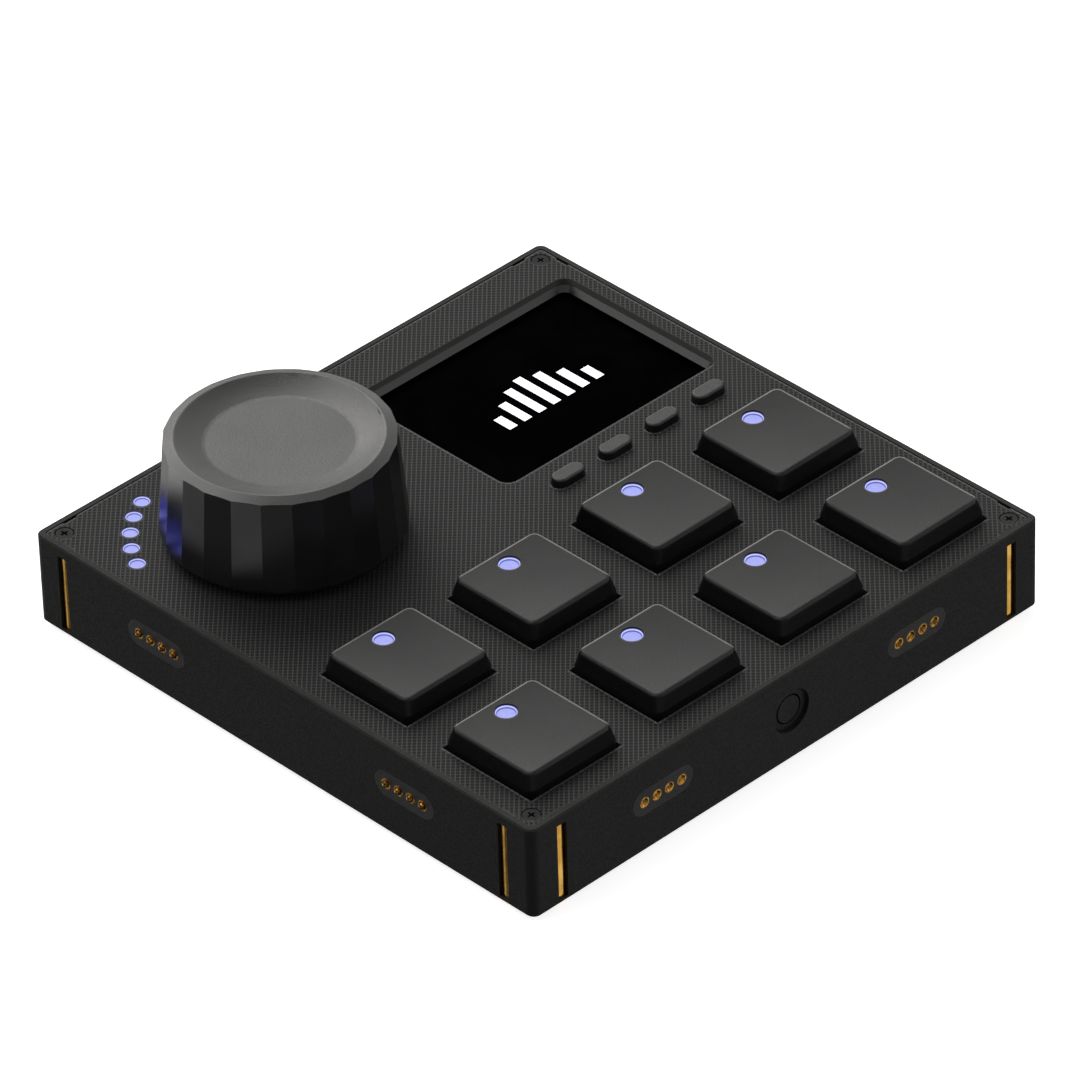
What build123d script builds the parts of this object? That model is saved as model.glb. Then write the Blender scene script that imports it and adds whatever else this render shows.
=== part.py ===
from build123d import *
import os
from math import atan2, cos, degrees, radians, sin, sqrt, tan

# Desktop midi controller: a square case with eight keys, a display, four menu buttons and one large dial.
# +X is the player's right, +Y points away from the player, +Z is up. The origin lies under the middle of the
# case, on the surface that the feet stand on. All lengths are in millimetres.

os.makedirs("parts", exist_ok=True)

# Case
case_width = 106.6
case_depth = 106.6
case_height = 15.9
case_corner_radius = 1.5
case_edge_break = 0.25
wall_thickness = 2.4
floor_thickness = 2.0
rim_width = 1.1
cut_overrun = 1.0

# Rubber feet
foot_height = 0.9
foot_diameter = 10.0
foot_pocket_depth = 0.5
foot_inset = 11.3
foot_clearance = 0.1
foot_edge_break = 0.3

# Top plate
plate_thickness = 1.2
plate_drop = 0.1
plate_clearance = 0.1
plate_corner_radius = 0.6
nick_length = 2.7
nick_width = 0.35
nick_angle = 45.0

# Plate screws
plate_screw_inset = 3.26
plate_screw_head_diameter = 2.6
plate_screw_diameter = 1.4
plate_screw_length = 6.0
plate_screw_drop = 0.05
plate_screw_angle = 90.0
screw_cross_span = 1.4
screw_cross_width = 0.36
screw_cross_depth = 0.5
screw_clearance = 0.03

# Magnet rods behind the slots near each corner
magnet_diameter = 3.0
magnet_length = 14.1
magnet_clearance = 0.05
magnet_skin = 0.3
magnet_run = 6.1
magnet_wall = 0.6
magnet_sink = 0.1
magnet_slot_width = 1.9
magnet_slot_lift = 0.6

# Contacts in the side walls
port_height = 8.75
connector_share = 0.25
connector_length = 12.3
connector_height = 4.5
connector_clearance = 0.05
pin_count = 4
pin_pitch = 2.54
barrel_diameter = 1.8
barrel_clearance = 0.02
pin_diameter = 1.2
pin_clearance = 0.05
pin_tip_rise = 0.5
pin_dome_radius = 0.5
pin_travel = 0.8
cup_dish_diameter = 1.4
cup_dish_depth = 0.35
cup_dish_taper = 40.0

# Circuit board, its bosses and screws
board_thickness = 1.6
board_clearance = 0.3
board_corner_radius = 1.0
board_screw_diameter = 2.0
board_screw_head_diameter = 3.8
board_screw_head_height = 1.2
board_screw_length = 4.6
board_screw_x = -9.0
board_screw_back_inset = 17.3
boss_diameter = 5.0
led_size = 2.0
led_height = 0.8

# Keys
key_columns = 4
key_rows = 2
key_pitch_share = 0.242
key_field_share = 0.2411
key_cutout = 18.4
key_travel = 3.0
cap_clearance = 0.22
cap_top_width = 16.7
cap_rise = 3.76
cap_dip = 0.8
cap_skirt = 1.1
cap_base_radius = 1.3
cap_corner_radius = 1.5
cap_edge_radius = 0.7
cap_wall = 1.2
cap_roof = 1.5
cap_boss_diameter = 5.6
cap_boss_length = 3.0
window_diameter = 3.55
window_offset = 5.2
window_recess = 0.2
window_lip = 0.08
window_dish_depth = 0.46
window_dish_taper = 31.0
window_tail = 0.4
window_clearance = 0.02

# Key switches
housing_width = 14.6
housing_draft = 3.0
housing_clearance = 0.9
stem_width = 6.6
stem_depth = 6.0
stem_guide = 2.2
stem_clearance = 0.2
tenon_length = 2.6
tenon_span = 4.0
tenon_thickness = 1.2
tenon_clearance = 0.03
light_shaft_diameter = 3.0

# Dial knob
knob_rise = 17.8
knob_gap = 0.7
knob_base_diameter = 37.6
knob_base_round = 1.8
knob_shoulder_diameter = 35.3
knob_shoulder_drop = 0.75
knob_lip_inset = 1.75
knob_lip_round = 0.5
knob_dish_inset = 4.4
knob_dish_depth = 1.6
knob_dish_bow = 0.12
knob_dish_round = 2.5
knob_wall = 2.4
knob_roof = 2.4
knob_facets = 24
half_turn = 180.0
hub_diameter = 11.0
hub_gap = 0.5
rib_count = 6
rib_thickness = 1.2
rib_height = 4.0

# Encoder under the knob
encoder_width = 13.0
bushing_diameter = 7.0
bushing_clearance = 0.1
bushing_rise = 2.8
encoder_nut_flats = 10.0
encoder_nut_height = 2.0
encoder_nut_clearance = 0.03
shaft_diameter = 6.0
shaft_clearance = 0.05
shaft_flat = 1.5
shaft_seat = 0.02
shaft_floor = 1.5
shaft_end_gap = 0.3

# Lights beside the knob
light_count = 5
light_step = 10.0
light_middle = 135.0
light_circle_share = 0.2176
light_diameter = 2.9
light_clearance = 0.03
light_recess = 0.1
light_lip = 0.12
light_dish_depth = 0.35
light_dish_taper = 37.0

# Display
display_width_share = 0.426
display_height_share = 0.318
display_side_margin = 3.74
display_back_margin = 9.06
display_corner_radius = 2.1
display_recess = 2.15
display_lip_inset = 0.7
display_margin = 0.8
display_clearance = 0.1
display_glass_thickness = 0.8
display_panel_thickness = 2.0

# Menu buttons and the switches under them
menu_count = 4
menu_pitch = 10.0
menu_length = 6.0
menu_width = 2.8
menu_rise = 1.4
menu_edge_radius = 0.4
menu_clearance = 0.12
menu_flange = 0.7
menu_flange_thickness = 0.8
menu_gap = 2.26
menu_travel = 0.5
menu_post_diameter = 2.0
menu_post_length = 1.2
seat_gap = 0.05
press_gap = 0.05
tact_width = 4.5
tact_height = 2.0
tact_actuator_diameter = 2.2

# Round button in the front wall and the switch behind it
side_button_diameter = 4.5
side_button_clearance = 0.3
side_recess_diameter = 7.4
side_recess_depth = 0.6
side_flange_diameter = 6.4
side_flange_thickness = 0.8
side_nub_diameter = 2.4
side_nub_length = 0.3
side_travel = 0.4
side_switch_width = 6.0
side_switch_height = 3.5
side_switch_depth = 3.4
side_actuator_diameter = 2.4
side_actuator_length = 0.6

# USB-C socket in the back wall
usb_width = 8.94
usb_height = 3.26
usb_length = 7.4
usb_shell = 0.3
usb_recess = 0.6
usb_mouth_depth = 6.2
usb_tongue_width = 6.7
usb_tongue_thickness = 0.7
usb_tongue_inset = 1.0
usb_clearance = 0.15
usb_share = 0.108

# Heights
case_bottom_z = foot_height
floor_top_z = case_bottom_z + floor_thickness
case_top_z = case_bottom_z + case_height
plate_top_z = case_top_z - plate_drop
plate_under_z = plate_top_z - plate_thickness
port_z = case_bottom_z + port_height
board_top_z = port_z - side_switch_height / 2
board_under_z = board_top_z - board_thickness
magnet_bottom_z = case_bottom_z + magnet_sink
magnet_slot_length = magnet_length - magnet_slot_lift
magnet_slot_z = magnet_bottom_z + magnet_slot_lift + magnet_slot_length / 2

# Key heights: the cap's roof at full press still clears the switch housing
cap_top_z = plate_top_z + cap_rise
cap_bottom_z = plate_top_z - cap_dip
cap_roof_z = cap_top_z - cap_roof
cap_boss_z = cap_roof_z - cap_boss_length
housing_top_z = cap_roof_z - key_travel - housing_clearance
stem_bottom_z = housing_top_z - stem_guide
cap_base_width = key_cutout - 2 * cap_clearance
cap_skirt_z = plate_top_z + cap_skirt
cap_taper = degrees(atan2((cap_base_width - cap_top_width) / 2, cap_rise - cap_skirt))

# Display heights, from the glass down
glass_top_z = plate_top_z - display_recess
panel_top_z = glass_top_z - display_glass_thickness
pad_top_z = panel_top_z - display_panel_thickness
display_lip = plate_under_z - glass_top_z

# Magnets sit in thickened corners of the case
magnet_bore_radius = magnet_diameter / 2 + magnet_clearance
magnet_inset = magnet_skin + magnet_bore_radius
corner_block_width = magnet_inset + magnet_bore_radius + magnet_wall
corner_block_length = magnet_run + magnet_bore_radius + magnet_wall
magnet_grids = (
    (case_width - 2 * magnet_inset, case_depth - 2 * magnet_run),
    (case_width - 2 * magnet_run, case_depth - 2 * magnet_inset),
)

# Plate outline and the square bar that cuts the nicks in its edge
plate_width = case_width - 2 * (rim_width + plate_clearance)
plate_depth = case_depth - 2 * (rim_width + plate_clearance)
nick_side = nick_width * sqrt(2)

# Board outline and the depth of what reaches in from the walls
board_width = case_width - 2 * (corner_block_width + board_clearance)
board_depth = case_depth - 2 * (corner_block_width + board_clearance)
connector_depth = wall_thickness
connector_opening_length = connector_length + 2 * connector_clearance
connector_opening_height = connector_height + 2 * connector_clearance
barrel_bore_radius = barrel_diameter / 2 + barrel_clearance

# Display outline, set in from the right and back edges of the case
display_opening_width = case_width * display_width_share
display_opening_height = case_depth * display_height_share
display_x = case_width / 2 - display_side_margin - display_opening_width / 2
display_y = case_depth / 2 - display_back_margin - display_opening_height / 2
display_width = display_opening_width + 2 * display_margin
display_height = display_opening_height + 2 * display_margin

# Places on the plate
knob_x = -case_width / 4
knob_y = case_depth / 4
key_pitch_x = case_width * key_pitch_share
key_pitch_y = case_depth * key_pitch_share
key_field_y = -case_depth * key_field_share
light_circle_radius = min(case_width, case_depth) * light_circle_share
menu_flange_width = menu_width + 2 * menu_flange
menu_y = display_y - display_height / 2 - menu_gap - menu_flange_width / 2
light_angles = [radians(light_middle + light_step * (n - (light_count - 1) / 2)) for n in range(light_count)]
light_places = [
    (knob_x + light_circle_radius * cos(angle), knob_y + light_circle_radius * sin(angle))
    for angle in light_angles
]
menu_places = [
    (display_x + menu_pitch * (n - (menu_count - 1) / 2), menu_y) for n in range(menu_count)
]
key_places = [
    (key_pitch_x * (column - (key_columns - 1) / 2), key_field_y + key_pitch_y * ((key_rows - 1) / 2 - row))
    for row in range(key_rows)
    for column in range(key_columns)
]
board_screw_places = [
    (-key_pitch_x, key_field_y),
    (key_pitch_x, key_field_y),
    (board_screw_x, menu_y),
    (board_screw_x, case_depth / 2 - board_screw_back_inset),
]

# Each side wall's outer face, with x along the wall, y up and z outwards, and the wall's length
sides = {
    "front": (Plane(origin=(0, -case_depth / 2, 0), x_dir=(1, 0, 0), z_dir=(0, -1, 0)), case_width),
    "right": (Plane(origin=(case_width / 2, 0, 0), x_dir=(0, 1, 0), z_dir=(1, 0, 0)), case_depth),
    "back": (Plane(origin=(0, case_depth / 2, 0), x_dir=(-1, 0, 0), z_dir=(0, 1, 0)), case_width),
    "left": (Plane(origin=(-case_width / 2, 0, 0), x_dir=(0, -1, 0), z_dir=(-1, 0, 0)), case_depth),
}
front_face = sides["front"][0]
back_face = sides["back"][0]
pin_sides = ("left", "back")
cup_sides = ("front", "right")
usb_offset = case_width * usb_share
connector_places = {
    side: [(-length * connector_share, port_z), (length * connector_share, port_z)]
    for side, (face, length) in sides.items()
}

# Case tray, open at the top under the plate
with BuildPart() as case_tray:
    with BuildSketch(Plane.XY.offset(case_bottom_z)):
        RectangleRounded(case_width, case_depth, case_corner_radius)
    extrude(amount=case_height)
    chamfer(case_tray.edges().group_by(Axis.Z)[0], case_edge_break)
    chamfer(case_tray.edges().group_by(Axis.Z)[-1], case_edge_break)
    # The room inside leaves thick corners for the magnets and the plate screws
    with BuildSketch(Plane.XY.offset(floor_top_z)):
        Rectangle(case_width - 2 * wall_thickness, case_depth - 2 * corner_block_length)
        Rectangle(case_width - 2 * corner_block_length, case_depth - 2 * wall_thickness)
        Rectangle(case_width - 2 * corner_block_width, case_depth - 2 * corner_block_width)
    extrude(amount=case_height, mode=Mode.SUBTRACT)
    # Relief beside the display
    with BuildSketch(Plane.XY.offset(board_top_z)):
        with Locations((display_x, display_y)):
            Rectangle(display_width + 2 * display_clearance, display_height + 2 * display_clearance)
    extrude(amount=plate_under_z - board_top_z, mode=Mode.SUBTRACT)
    # Rebate that the plate lies in
    with BuildSketch(Plane.XY.offset(plate_under_z)):
        RectangleRounded(case_width - 2 * rim_width, case_depth - 2 * rim_width, plate_corner_radius)
    extrude(amount=case_height, mode=Mode.SUBTRACT)
    # Bosses for the board screws and a rest post under the display
    with BuildSketch(Plane.XY.offset(floor_top_z)):
        with Locations(*board_screw_places, (display_x, display_y)):
            Circle(boss_diameter / 2)
    extrude(amount=board_under_z - floor_top_z)
    with Locations(*[(x, y, board_under_z) for x, y in board_screw_places]):
        Hole(board_screw_diameter / 2 + screw_clearance, depth=board_screw_length - board_thickness + press_gap)
    # Pilot holes for the plate screws
    with Locations((0, 0, plate_under_z)):
        with GridLocations(case_width - 2 * plate_screw_inset, case_depth - 2 * plate_screw_inset, 2, 2):
            Hole(plate_screw_diameter / 2 + screw_clearance, depth=plate_screw_length)
    # Pockets under the case for the feet
    with BuildSketch(Plane.XY.offset(case_bottom_z)):
        with GridLocations(case_width - 2 * foot_inset, case_depth - 2 * foot_inset, 2, 2):
            Circle(foot_diameter / 2 + foot_clearance)
    extrude(amount=foot_pocket_depth, mode=Mode.SUBTRACT)
    # Bores for the magnet rods, which are pushed in from below
    for span_x, span_y in magnet_grids:
        with BuildSketch(Plane.XY.offset(case_bottom_z)):
            with GridLocations(span_x, span_y, 2, 2):
                Circle(magnet_bore_radius)
        extrude(amount=magnet_sink + magnet_length, mode=Mode.SUBTRACT)
    # In each wall: two slots in front of the magnets and two openings for the contacts
    for side, (face, length) in sides.items():
        with BuildSketch(face):
            with Locations((0, magnet_slot_z)):
                with GridLocations(length - 2 * magnet_run, magnet_slot_length, 2, 1):
                    Rectangle(magnet_slot_width, magnet_slot_length)
        extrude(amount=-magnet_inset, mode=Mode.SUBTRACT)
        with BuildSketch(face):
            with Locations(*connector_places[side]):
                SlotOverall(connector_opening_length, connector_opening_height)
        extrude(amount=-wall_thickness - cut_overrun, mode=Mode.SUBTRACT)
    # Sunk seat and bore of the round button in the front wall
    with BuildSketch(front_face):
        with Locations((0, port_z)):
            Circle(side_recess_diameter / 2)
    extrude(amount=-side_recess_depth, mode=Mode.SUBTRACT)
    with BuildSketch(front_face):
        with Locations((0, port_z)):
            Circle(side_button_diameter / 2 + side_button_clearance)
    extrude(amount=-wall_thickness - cut_overrun, mode=Mode.SUBTRACT)
    # Mouth of the USB-C socket in the back wall
    with BuildSketch(back_face):
        with Locations((usb_offset, board_top_z + usb_height / 2)):
            SlotOverall(usb_width + 2 * usb_clearance, usb_height + 2 * usb_clearance)
    extrude(amount=-wall_thickness - cut_overrun, mode=Mode.SUBTRACT)
case_tray.part.label = "case_tray"
export_step(case_tray.part, "parts/case_tray.step")

# Rubber feet, glued into their pockets
with BuildPart() as rubber_feet:
    with BuildSketch():
        with GridLocations(case_width - 2 * foot_inset, case_depth - 2 * foot_inset, 2, 2):
            Circle(foot_diameter / 2)
    extrude(amount=foot_height + foot_pocket_depth)
    chamfer(rubber_feet.edges().group_by(Axis.Z)[0], foot_edge_break)
rubber_feet.part.label = "rubber_feet"
export_step(rubber_feet.part, "parts/rubber_feet.step")

# Top plate with its cut-outs
with BuildPart() as top_plate:
    with BuildSketch(Plane.XY.offset(plate_under_z)):
        RectangleRounded(plate_width, plate_depth, plate_corner_radius)
        with Locations(*key_places):
            Rectangle(key_cutout, key_cutout, mode=Mode.SUBTRACT)
        with Locations((display_x, display_y)):
            RectangleRounded(
                display_opening_width, display_opening_height, display_corner_radius, mode=Mode.SUBTRACT
            )
        with Locations((knob_x, knob_y)):
            Circle(bushing_diameter / 2 + bushing_clearance, mode=Mode.SUBTRACT)
        with Locations(*light_places):
            Circle(light_diameter / 2, mode=Mode.SUBTRACT)
        with Locations(*menu_places):
            SlotOverall(menu_length + 2 * menu_clearance, menu_width + 2 * menu_clearance, mode=Mode.SUBTRACT)
    extrude(amount=plate_thickness)
    with Locations((0, 0, plate_top_z)):
        with GridLocations(case_width - 2 * plate_screw_inset, case_depth - 2 * plate_screw_inset, 2, 2):
            CounterSinkHole(
                plate_screw_diameter / 2 + screw_clearance,
                plate_screw_head_diameter / 2 + plate_screw_drop + screw_clearance,
                counter_sink_angle=plate_screw_angle,
            )
    # Sloped nicks in the edge above the magnets, to lift the plate out by
    with Locations((0, 0, plate_top_z)):
        with GridLocations(plate_width, case_depth - 2 * magnet_run, 2, 2):
            Box(nick_side, nick_length, nick_side, rotation=(0, nick_angle, 0), mode=Mode.SUBTRACT)
        with GridLocations(case_width - 2 * magnet_run, plate_depth, 2, 2):
            Box(nick_length, nick_side, nick_side, rotation=(nick_angle, 0, 0), mode=Mode.SUBTRACT)
top_plate.part.label = "top_plate"
export_step(top_plate.part, "parts/top_plate.step")

# Countersunk plate screws with a cross recess
plate_screw_taper = plate_screw_angle / 2
plate_screw_overhang = (plate_screw_head_diameter - plate_screw_diameter) / 2
plate_screw_head_height = plate_screw_overhang / tan(radians(plate_screw_taper))
with BuildPart() as plate_screws:
    with BuildSketch(Plane.XY.offset(plate_top_z - plate_screw_drop)):
        with GridLocations(case_width - 2 * plate_screw_inset, case_depth - 2 * plate_screw_inset, 2, 2):
            Circle(plate_screw_head_diameter / 2)
    extrude(amount=-plate_screw_head_height, taper=plate_screw_taper)
    with BuildSketch(Plane.XY.offset(plate_top_z - plate_screw_drop)):
        with GridLocations(case_width - 2 * plate_screw_inset, case_depth - 2 * plate_screw_inset, 2, 2):
            Circle(plate_screw_diameter / 2)
    extrude(amount=-plate_screw_length)
    with BuildSketch(Plane.XY.offset(plate_top_z - plate_screw_drop)):
        with GridLocations(case_width - 2 * plate_screw_inset, case_depth - 2 * plate_screw_inset, 2, 2):
            Rectangle(screw_cross_span, screw_cross_width)
            Rectangle(screw_cross_width, screw_cross_span)
    extrude(amount=-screw_cross_depth, mode=Mode.SUBTRACT)
plate_screws.part.label = "plate_screws"
export_step(plate_screws.part, "parts/plate_screws.step")

# Magnet rods
with BuildPart() as magnet_rods:
    for span_x, span_y in magnet_grids:
        with BuildSketch(Plane.XY.offset(magnet_bottom_z)):
            with GridLocations(span_x, span_y, 2, 2):
                Circle(magnet_diameter / 2)
        extrude(amount=magnet_length)
magnet_rods.part.label = "magnet_rods"
export_step(magnet_rods.part, "parts/magnet_rods.step")

# Main board on the bosses
with BuildPart() as main_board:
    with BuildSketch(Plane.XY.offset(board_under_z)):
        RectangleRounded(board_width, board_depth, board_corner_radius)
        with Locations(*board_screw_places):
            Circle(board_screw_diameter / 2 + screw_clearance, mode=Mode.SUBTRACT)
    extrude(amount=board_thickness)
main_board.part.label = "main_board"
export_step(main_board.part, "parts/main_board.step")

# Board screws
with BuildPart() as board_screws:
    with BuildSketch(Plane.XY.offset(board_top_z)):
        with Locations(*board_screw_places):
            Circle(board_screw_head_diameter / 2)
    extrude(amount=board_screw_head_height)
    with BuildSketch(Plane.XY.offset(board_top_z)):
        with Locations(*board_screw_places):
            Circle(board_screw_diameter / 2)
    extrude(amount=-board_screw_length)
board_screws.part.label = "board_screws"
export_step(board_screws.part, "parts/board_screws.step")

# LED chips under the key windows and under the light pipes
window_places = [(x, y + window_offset) for x, y in key_places]
with BuildPart() as board_leds:
    with BuildSketch(Plane.XY.offset(board_top_z)):
        with Locations(*window_places, *light_places):
            Rectangle(led_size, led_size)
    extrude(amount=led_height)
board_leds.part.label = "board_leds"
export_step(board_leds.part, "parts/board_leds.step")

# Light pipes in the arc beside the knob, from the LED chips to just under the plate's face, dished on top
light_pipe_bottom_z = board_top_z + led_height
light_pipe_top_z = plate_top_z - light_recess
light_pipe_radius = light_diameter / 2 - light_clearance
with BuildPart() as light_pipes:
    with BuildSketch(Plane.XY.offset(light_pipe_bottom_z)):
        with Locations(*light_places):
            Circle(light_pipe_radius)
    extrude(amount=light_pipe_top_z - light_pipe_bottom_z)
    with BuildSketch(Plane.XY.offset(light_pipe_top_z)):
        with Locations(*light_places):
            Circle(light_pipe_radius - light_lip)
    extrude(amount=-light_dish_depth, taper=light_dish_taper, mode=Mode.SUBTRACT)
light_pipes.part.label = "light_pipes"
export_step(light_pipes.part, "parts/light_pipes.step")

# Key switch housings, each with a well for the stem and a shaft for the light
well_floor_z = stem_bottom_z - key_travel - stem_clearance
with BuildPart() as switch_housings:
    with BuildSketch(Plane.XY.offset(board_top_z)):
        with Locations(*key_places):
            Rectangle(housing_width, housing_width)
    extrude(amount=housing_top_z - board_top_z, taper=housing_draft)
    with BuildSketch(Plane.XY.offset(well_floor_z)):
        with Locations(*key_places):
            Rectangle(stem_width + 2 * stem_clearance, stem_depth + 2 * stem_clearance)
    extrude(amount=housing_top_z - well_floor_z, mode=Mode.SUBTRACT)
    with BuildSketch(Plane.XY.offset(board_top_z)):
        with Locations(*window_places):
            Circle(light_shaft_diameter / 2)
    extrude(amount=housing_top_z - board_top_z, mode=Mode.SUBTRACT)
switch_housings.part.label = "switch_housings"
export_step(switch_housings.part, "parts/switch_housings.step")

# Keys: a hollow cap with an upright skirt and sloped sides, the switch stem under it and the dished clear
# window in its roof
window_radius = window_diameter / 2 - window_clearance
for number, (key_x, key_y) in enumerate(key_places, start=1):
    with BuildPart() as keycap:
        with BuildSketch(Plane((key_x, key_y, cap_bottom_z))):
            RectangleRounded(cap_base_width, cap_base_width, cap_base_radius)
        extrude(amount=cap_dip + cap_skirt)
        with BuildSketch(Plane((key_x, key_y, cap_skirt_z))):
            RectangleRounded(cap_base_width, cap_base_width, cap_base_radius)
        with BuildSketch(Plane((key_x, key_y, cap_top_z))):
            RectangleRounded(cap_top_width, cap_top_width, cap_corner_radius)
        loft(ruled=True)
        fillet(keycap.edges().group_by(Axis.Z)[-1], cap_edge_radius)
        with BuildSketch(Plane((key_x, key_y, cap_bottom_z))):
            Rectangle(cap_base_width - 2 * cap_wall, cap_base_width - 2 * cap_wall)
        extrude(amount=cap_roof_z - cap_bottom_z, taper=cap_taper, mode=Mode.SUBTRACT)
        with BuildSketch(Plane((key_x, key_y, cap_boss_z))):
            Circle(cap_boss_diameter / 2)
        extrude(amount=cap_boss_length)
        with BuildSketch(Plane((key_x, key_y, cap_boss_z))):
            Rectangle(tenon_span + 2 * tenon_clearance, tenon_thickness + 2 * tenon_clearance)
            Rectangle(tenon_thickness + 2 * tenon_clearance, tenon_span + 2 * tenon_clearance)
        extrude(amount=tenon_length + tenon_clearance, mode=Mode.SUBTRACT)
        with BuildSketch(Plane((key_x, key_y + window_offset, cap_roof_z - window_tail))):
            Circle(window_diameter / 2)
        extrude(amount=cap_roof + window_tail, mode=Mode.SUBTRACT)
    keycap.part.label = f"keycap_{number}"
    export_step(keycap.part, f"parts/keycap_{number}.step")

    with BuildPart() as key_stem:
        with BuildSketch(Plane((key_x, key_y, stem_bottom_z))):
            Rectangle(stem_width, stem_depth)
        extrude(amount=cap_boss_z - stem_bottom_z)
        with BuildSketch(Plane((key_x, key_y, cap_boss_z))):
            Rectangle(tenon_span, tenon_thickness)
            Rectangle(tenon_thickness, tenon_span)
        extrude(amount=tenon_length)
    key_stem.part.label = f"key_stem_{number}"
    export_step(key_stem.part, f"parts/key_stem_{number}.step")

    with BuildPart() as key_window:
        with BuildSketch(Plane((key_x, key_y + window_offset, cap_roof_z - window_tail))):
            Circle(window_radius)
        extrude(amount=cap_roof + window_tail - window_recess)
        with BuildSketch(Plane((key_x, key_y + window_offset, cap_top_z - window_recess))):
            Circle(window_radius - window_lip)
        extrude(amount=-window_dish_depth, taper=window_dish_taper, mode=Mode.SUBTRACT)
    key_window.part.label = f"key_window_{number}"
    export_step(key_window.part, f"parts/key_window_{number}.step")

# Encoder body between board and plate, with its threaded bushing through the plate
bushing_top_z = plate_top_z + bushing_rise
shaft_bore_z = board_top_z + shaft_floor
with BuildPart() as encoder_body:
    with BuildSketch(Plane((knob_x, knob_y, board_top_z))):
        Rectangle(encoder_width, encoder_width)
    extrude(amount=plate_under_z - board_top_z)
    with BuildSketch(Plane((knob_x, knob_y, plate_under_z))):
        Circle(bushing_diameter / 2)
    extrude(amount=bushing_top_z - plate_under_z)
    with BuildSketch(Plane((knob_x, knob_y, shaft_bore_z))):
        Circle(shaft_diameter / 2 + shaft_clearance)
    extrude(amount=bushing_top_z - shaft_bore_z, mode=Mode.SUBTRACT)
encoder_body.part.label = "encoder_body"
export_step(encoder_body.part, "parts/encoder_body.step")

# Nut that clamps the encoder to the plate
with BuildPart() as encoder_nut:
    with BuildSketch(Plane((knob_x, knob_y, plate_top_z))):
        RegularPolygon(radius=encoder_nut_flats / 2, side_count=6, major_radius=False)
        Circle(bushing_diameter / 2 + encoder_nut_clearance, mode=Mode.SUBTRACT)
    extrude(amount=encoder_nut_height)
encoder_nut.part.label = "encoder_nut"
export_step(encoder_nut.part, "parts/encoder_nut.step")

# Knob heights
knob_bottom_z = plate_top_z + knob_gap
knob_lip_z = plate_top_z + knob_rise
knob_shoulder_z = knob_lip_z - knob_shoulder_drop
knob_waist_z = knob_bottom_z + knob_base_round
knob_dish_z = knob_lip_z - knob_dish_depth
knob_roof_z = knob_dish_z - knob_roof
hub_bottom_z = bushing_top_z + hub_gap
shaft_top_z = knob_roof_z
shaft_bottom_z = shaft_bore_z + shaft_end_gap

# The facets taper in a straight line from the widest ring to the shoulder
knob_base_radius = knob_base_diameter / 2
knob_shoulder_radius = knob_shoulder_diameter / 2
knob_lip_radius = knob_shoulder_radius - knob_lip_inset
knob_dish_radius = knob_lip_radius - knob_dish_inset
knob_slope = (knob_base_radius - knob_shoulder_radius) / (knob_shoulder_z - knob_waist_z)
facet_bottom_radius = knob_base_radius + knob_slope * (knob_waist_z - knob_bottom_z)
facet_top_radius = knob_shoulder_radius - knob_slope * (knob_lip_z - knob_shoulder_z)
knob_cavity_radius = knob_base_radius - knob_wall

# Knob: a turned body with a dished top, cut to flats all round, hollow under the top. The flats are turned by
# half a step, so that one faces each side of the case
with BuildPart() as knob:
    with BuildSketch(Plane((knob_x, knob_y, 0), x_dir=(1, 0, 0), z_dir=(0, -1, 0))):
        with BuildLine():
            dish_floor = Line((0, knob_dish_z), (knob_dish_radius, knob_dish_z))
            dish_wall = SagittaArc(dish_floor @ 1, (knob_lip_radius, knob_lip_z), -knob_dish_bow)
            shoulder = Line(dish_wall @ 1, (knob_shoulder_radius, knob_shoulder_z))
            flank = Line(shoulder @ 1, (knob_base_radius, knob_waist_z))
            foot_arc = RadiusArc(
                flank @ 1, (knob_base_radius - knob_base_round, knob_bottom_z), knob_base_round
            )
            Polyline(foot_arc @ 1, (0, knob_bottom_z), (0, knob_dish_z))
        make_face()
    revolve(axis=Axis((knob_x, knob_y, 0), (0, 0, 1)))
    lip_ring = knob.edges().filter_by(GeomType.CIRCLE).group_by(Axis.Z)[-1]
    fillet(lip_ring, knob_lip_round)
    rings = knob.edges().filter_by(GeomType.CIRCLE)
    dish_ring = rings.filter_by_position(Axis.Z, knob_dish_z - knob_lip_round, knob_dish_z + knob_lip_round)
    fillet(dish_ring, knob_dish_round)
    with BuildSketch(Plane((knob_x, knob_y, knob_bottom_z))):
        RegularPolygon(facet_bottom_radius, knob_facets, rotation=half_turn / knob_facets)
    with BuildSketch(Plane((knob_x, knob_y, knob_lip_z))):
        RegularPolygon(facet_top_radius, knob_facets, rotation=half_turn / knob_facets)
    loft(ruled=True, mode=Mode.INTERSECT)
    with BuildSketch(Plane((knob_x, knob_y, knob_bottom_z))):
        Circle(knob_cavity_radius)
    extrude(amount=knob_roof_z - knob_bottom_z, taper=degrees(atan2(knob_slope, 1)), mode=Mode.SUBTRACT)
    with BuildSketch(Plane((knob_x, knob_y, hub_bottom_z))):
        Circle(hub_diameter / 2)
    extrude(amount=knob_roof_z - hub_bottom_z)
    with BuildSketch(Plane((knob_x, knob_y, knob_roof_z - rib_height))):
        with PolarLocations(knob_cavity_radius / 2, rib_count):
            Rectangle(knob_cavity_radius, rib_thickness)
    extrude(amount=rib_height)
    with BuildSketch(Plane((knob_x, knob_y, hub_bottom_z))):
        Circle(shaft_diameter / 2 + shaft_seat)
        with Locations((0, shaft_flat + shaft_seat + shaft_diameter / 2)):
            Rectangle(shaft_diameter + 2 * shaft_seat, shaft_diameter, mode=Mode.SUBTRACT)
    extrude(amount=shaft_top_z + shaft_seat - hub_bottom_z, mode=Mode.SUBTRACT)
knob.part.label = "knob"
export_step(knob.part, "parts/knob.step")

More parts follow.
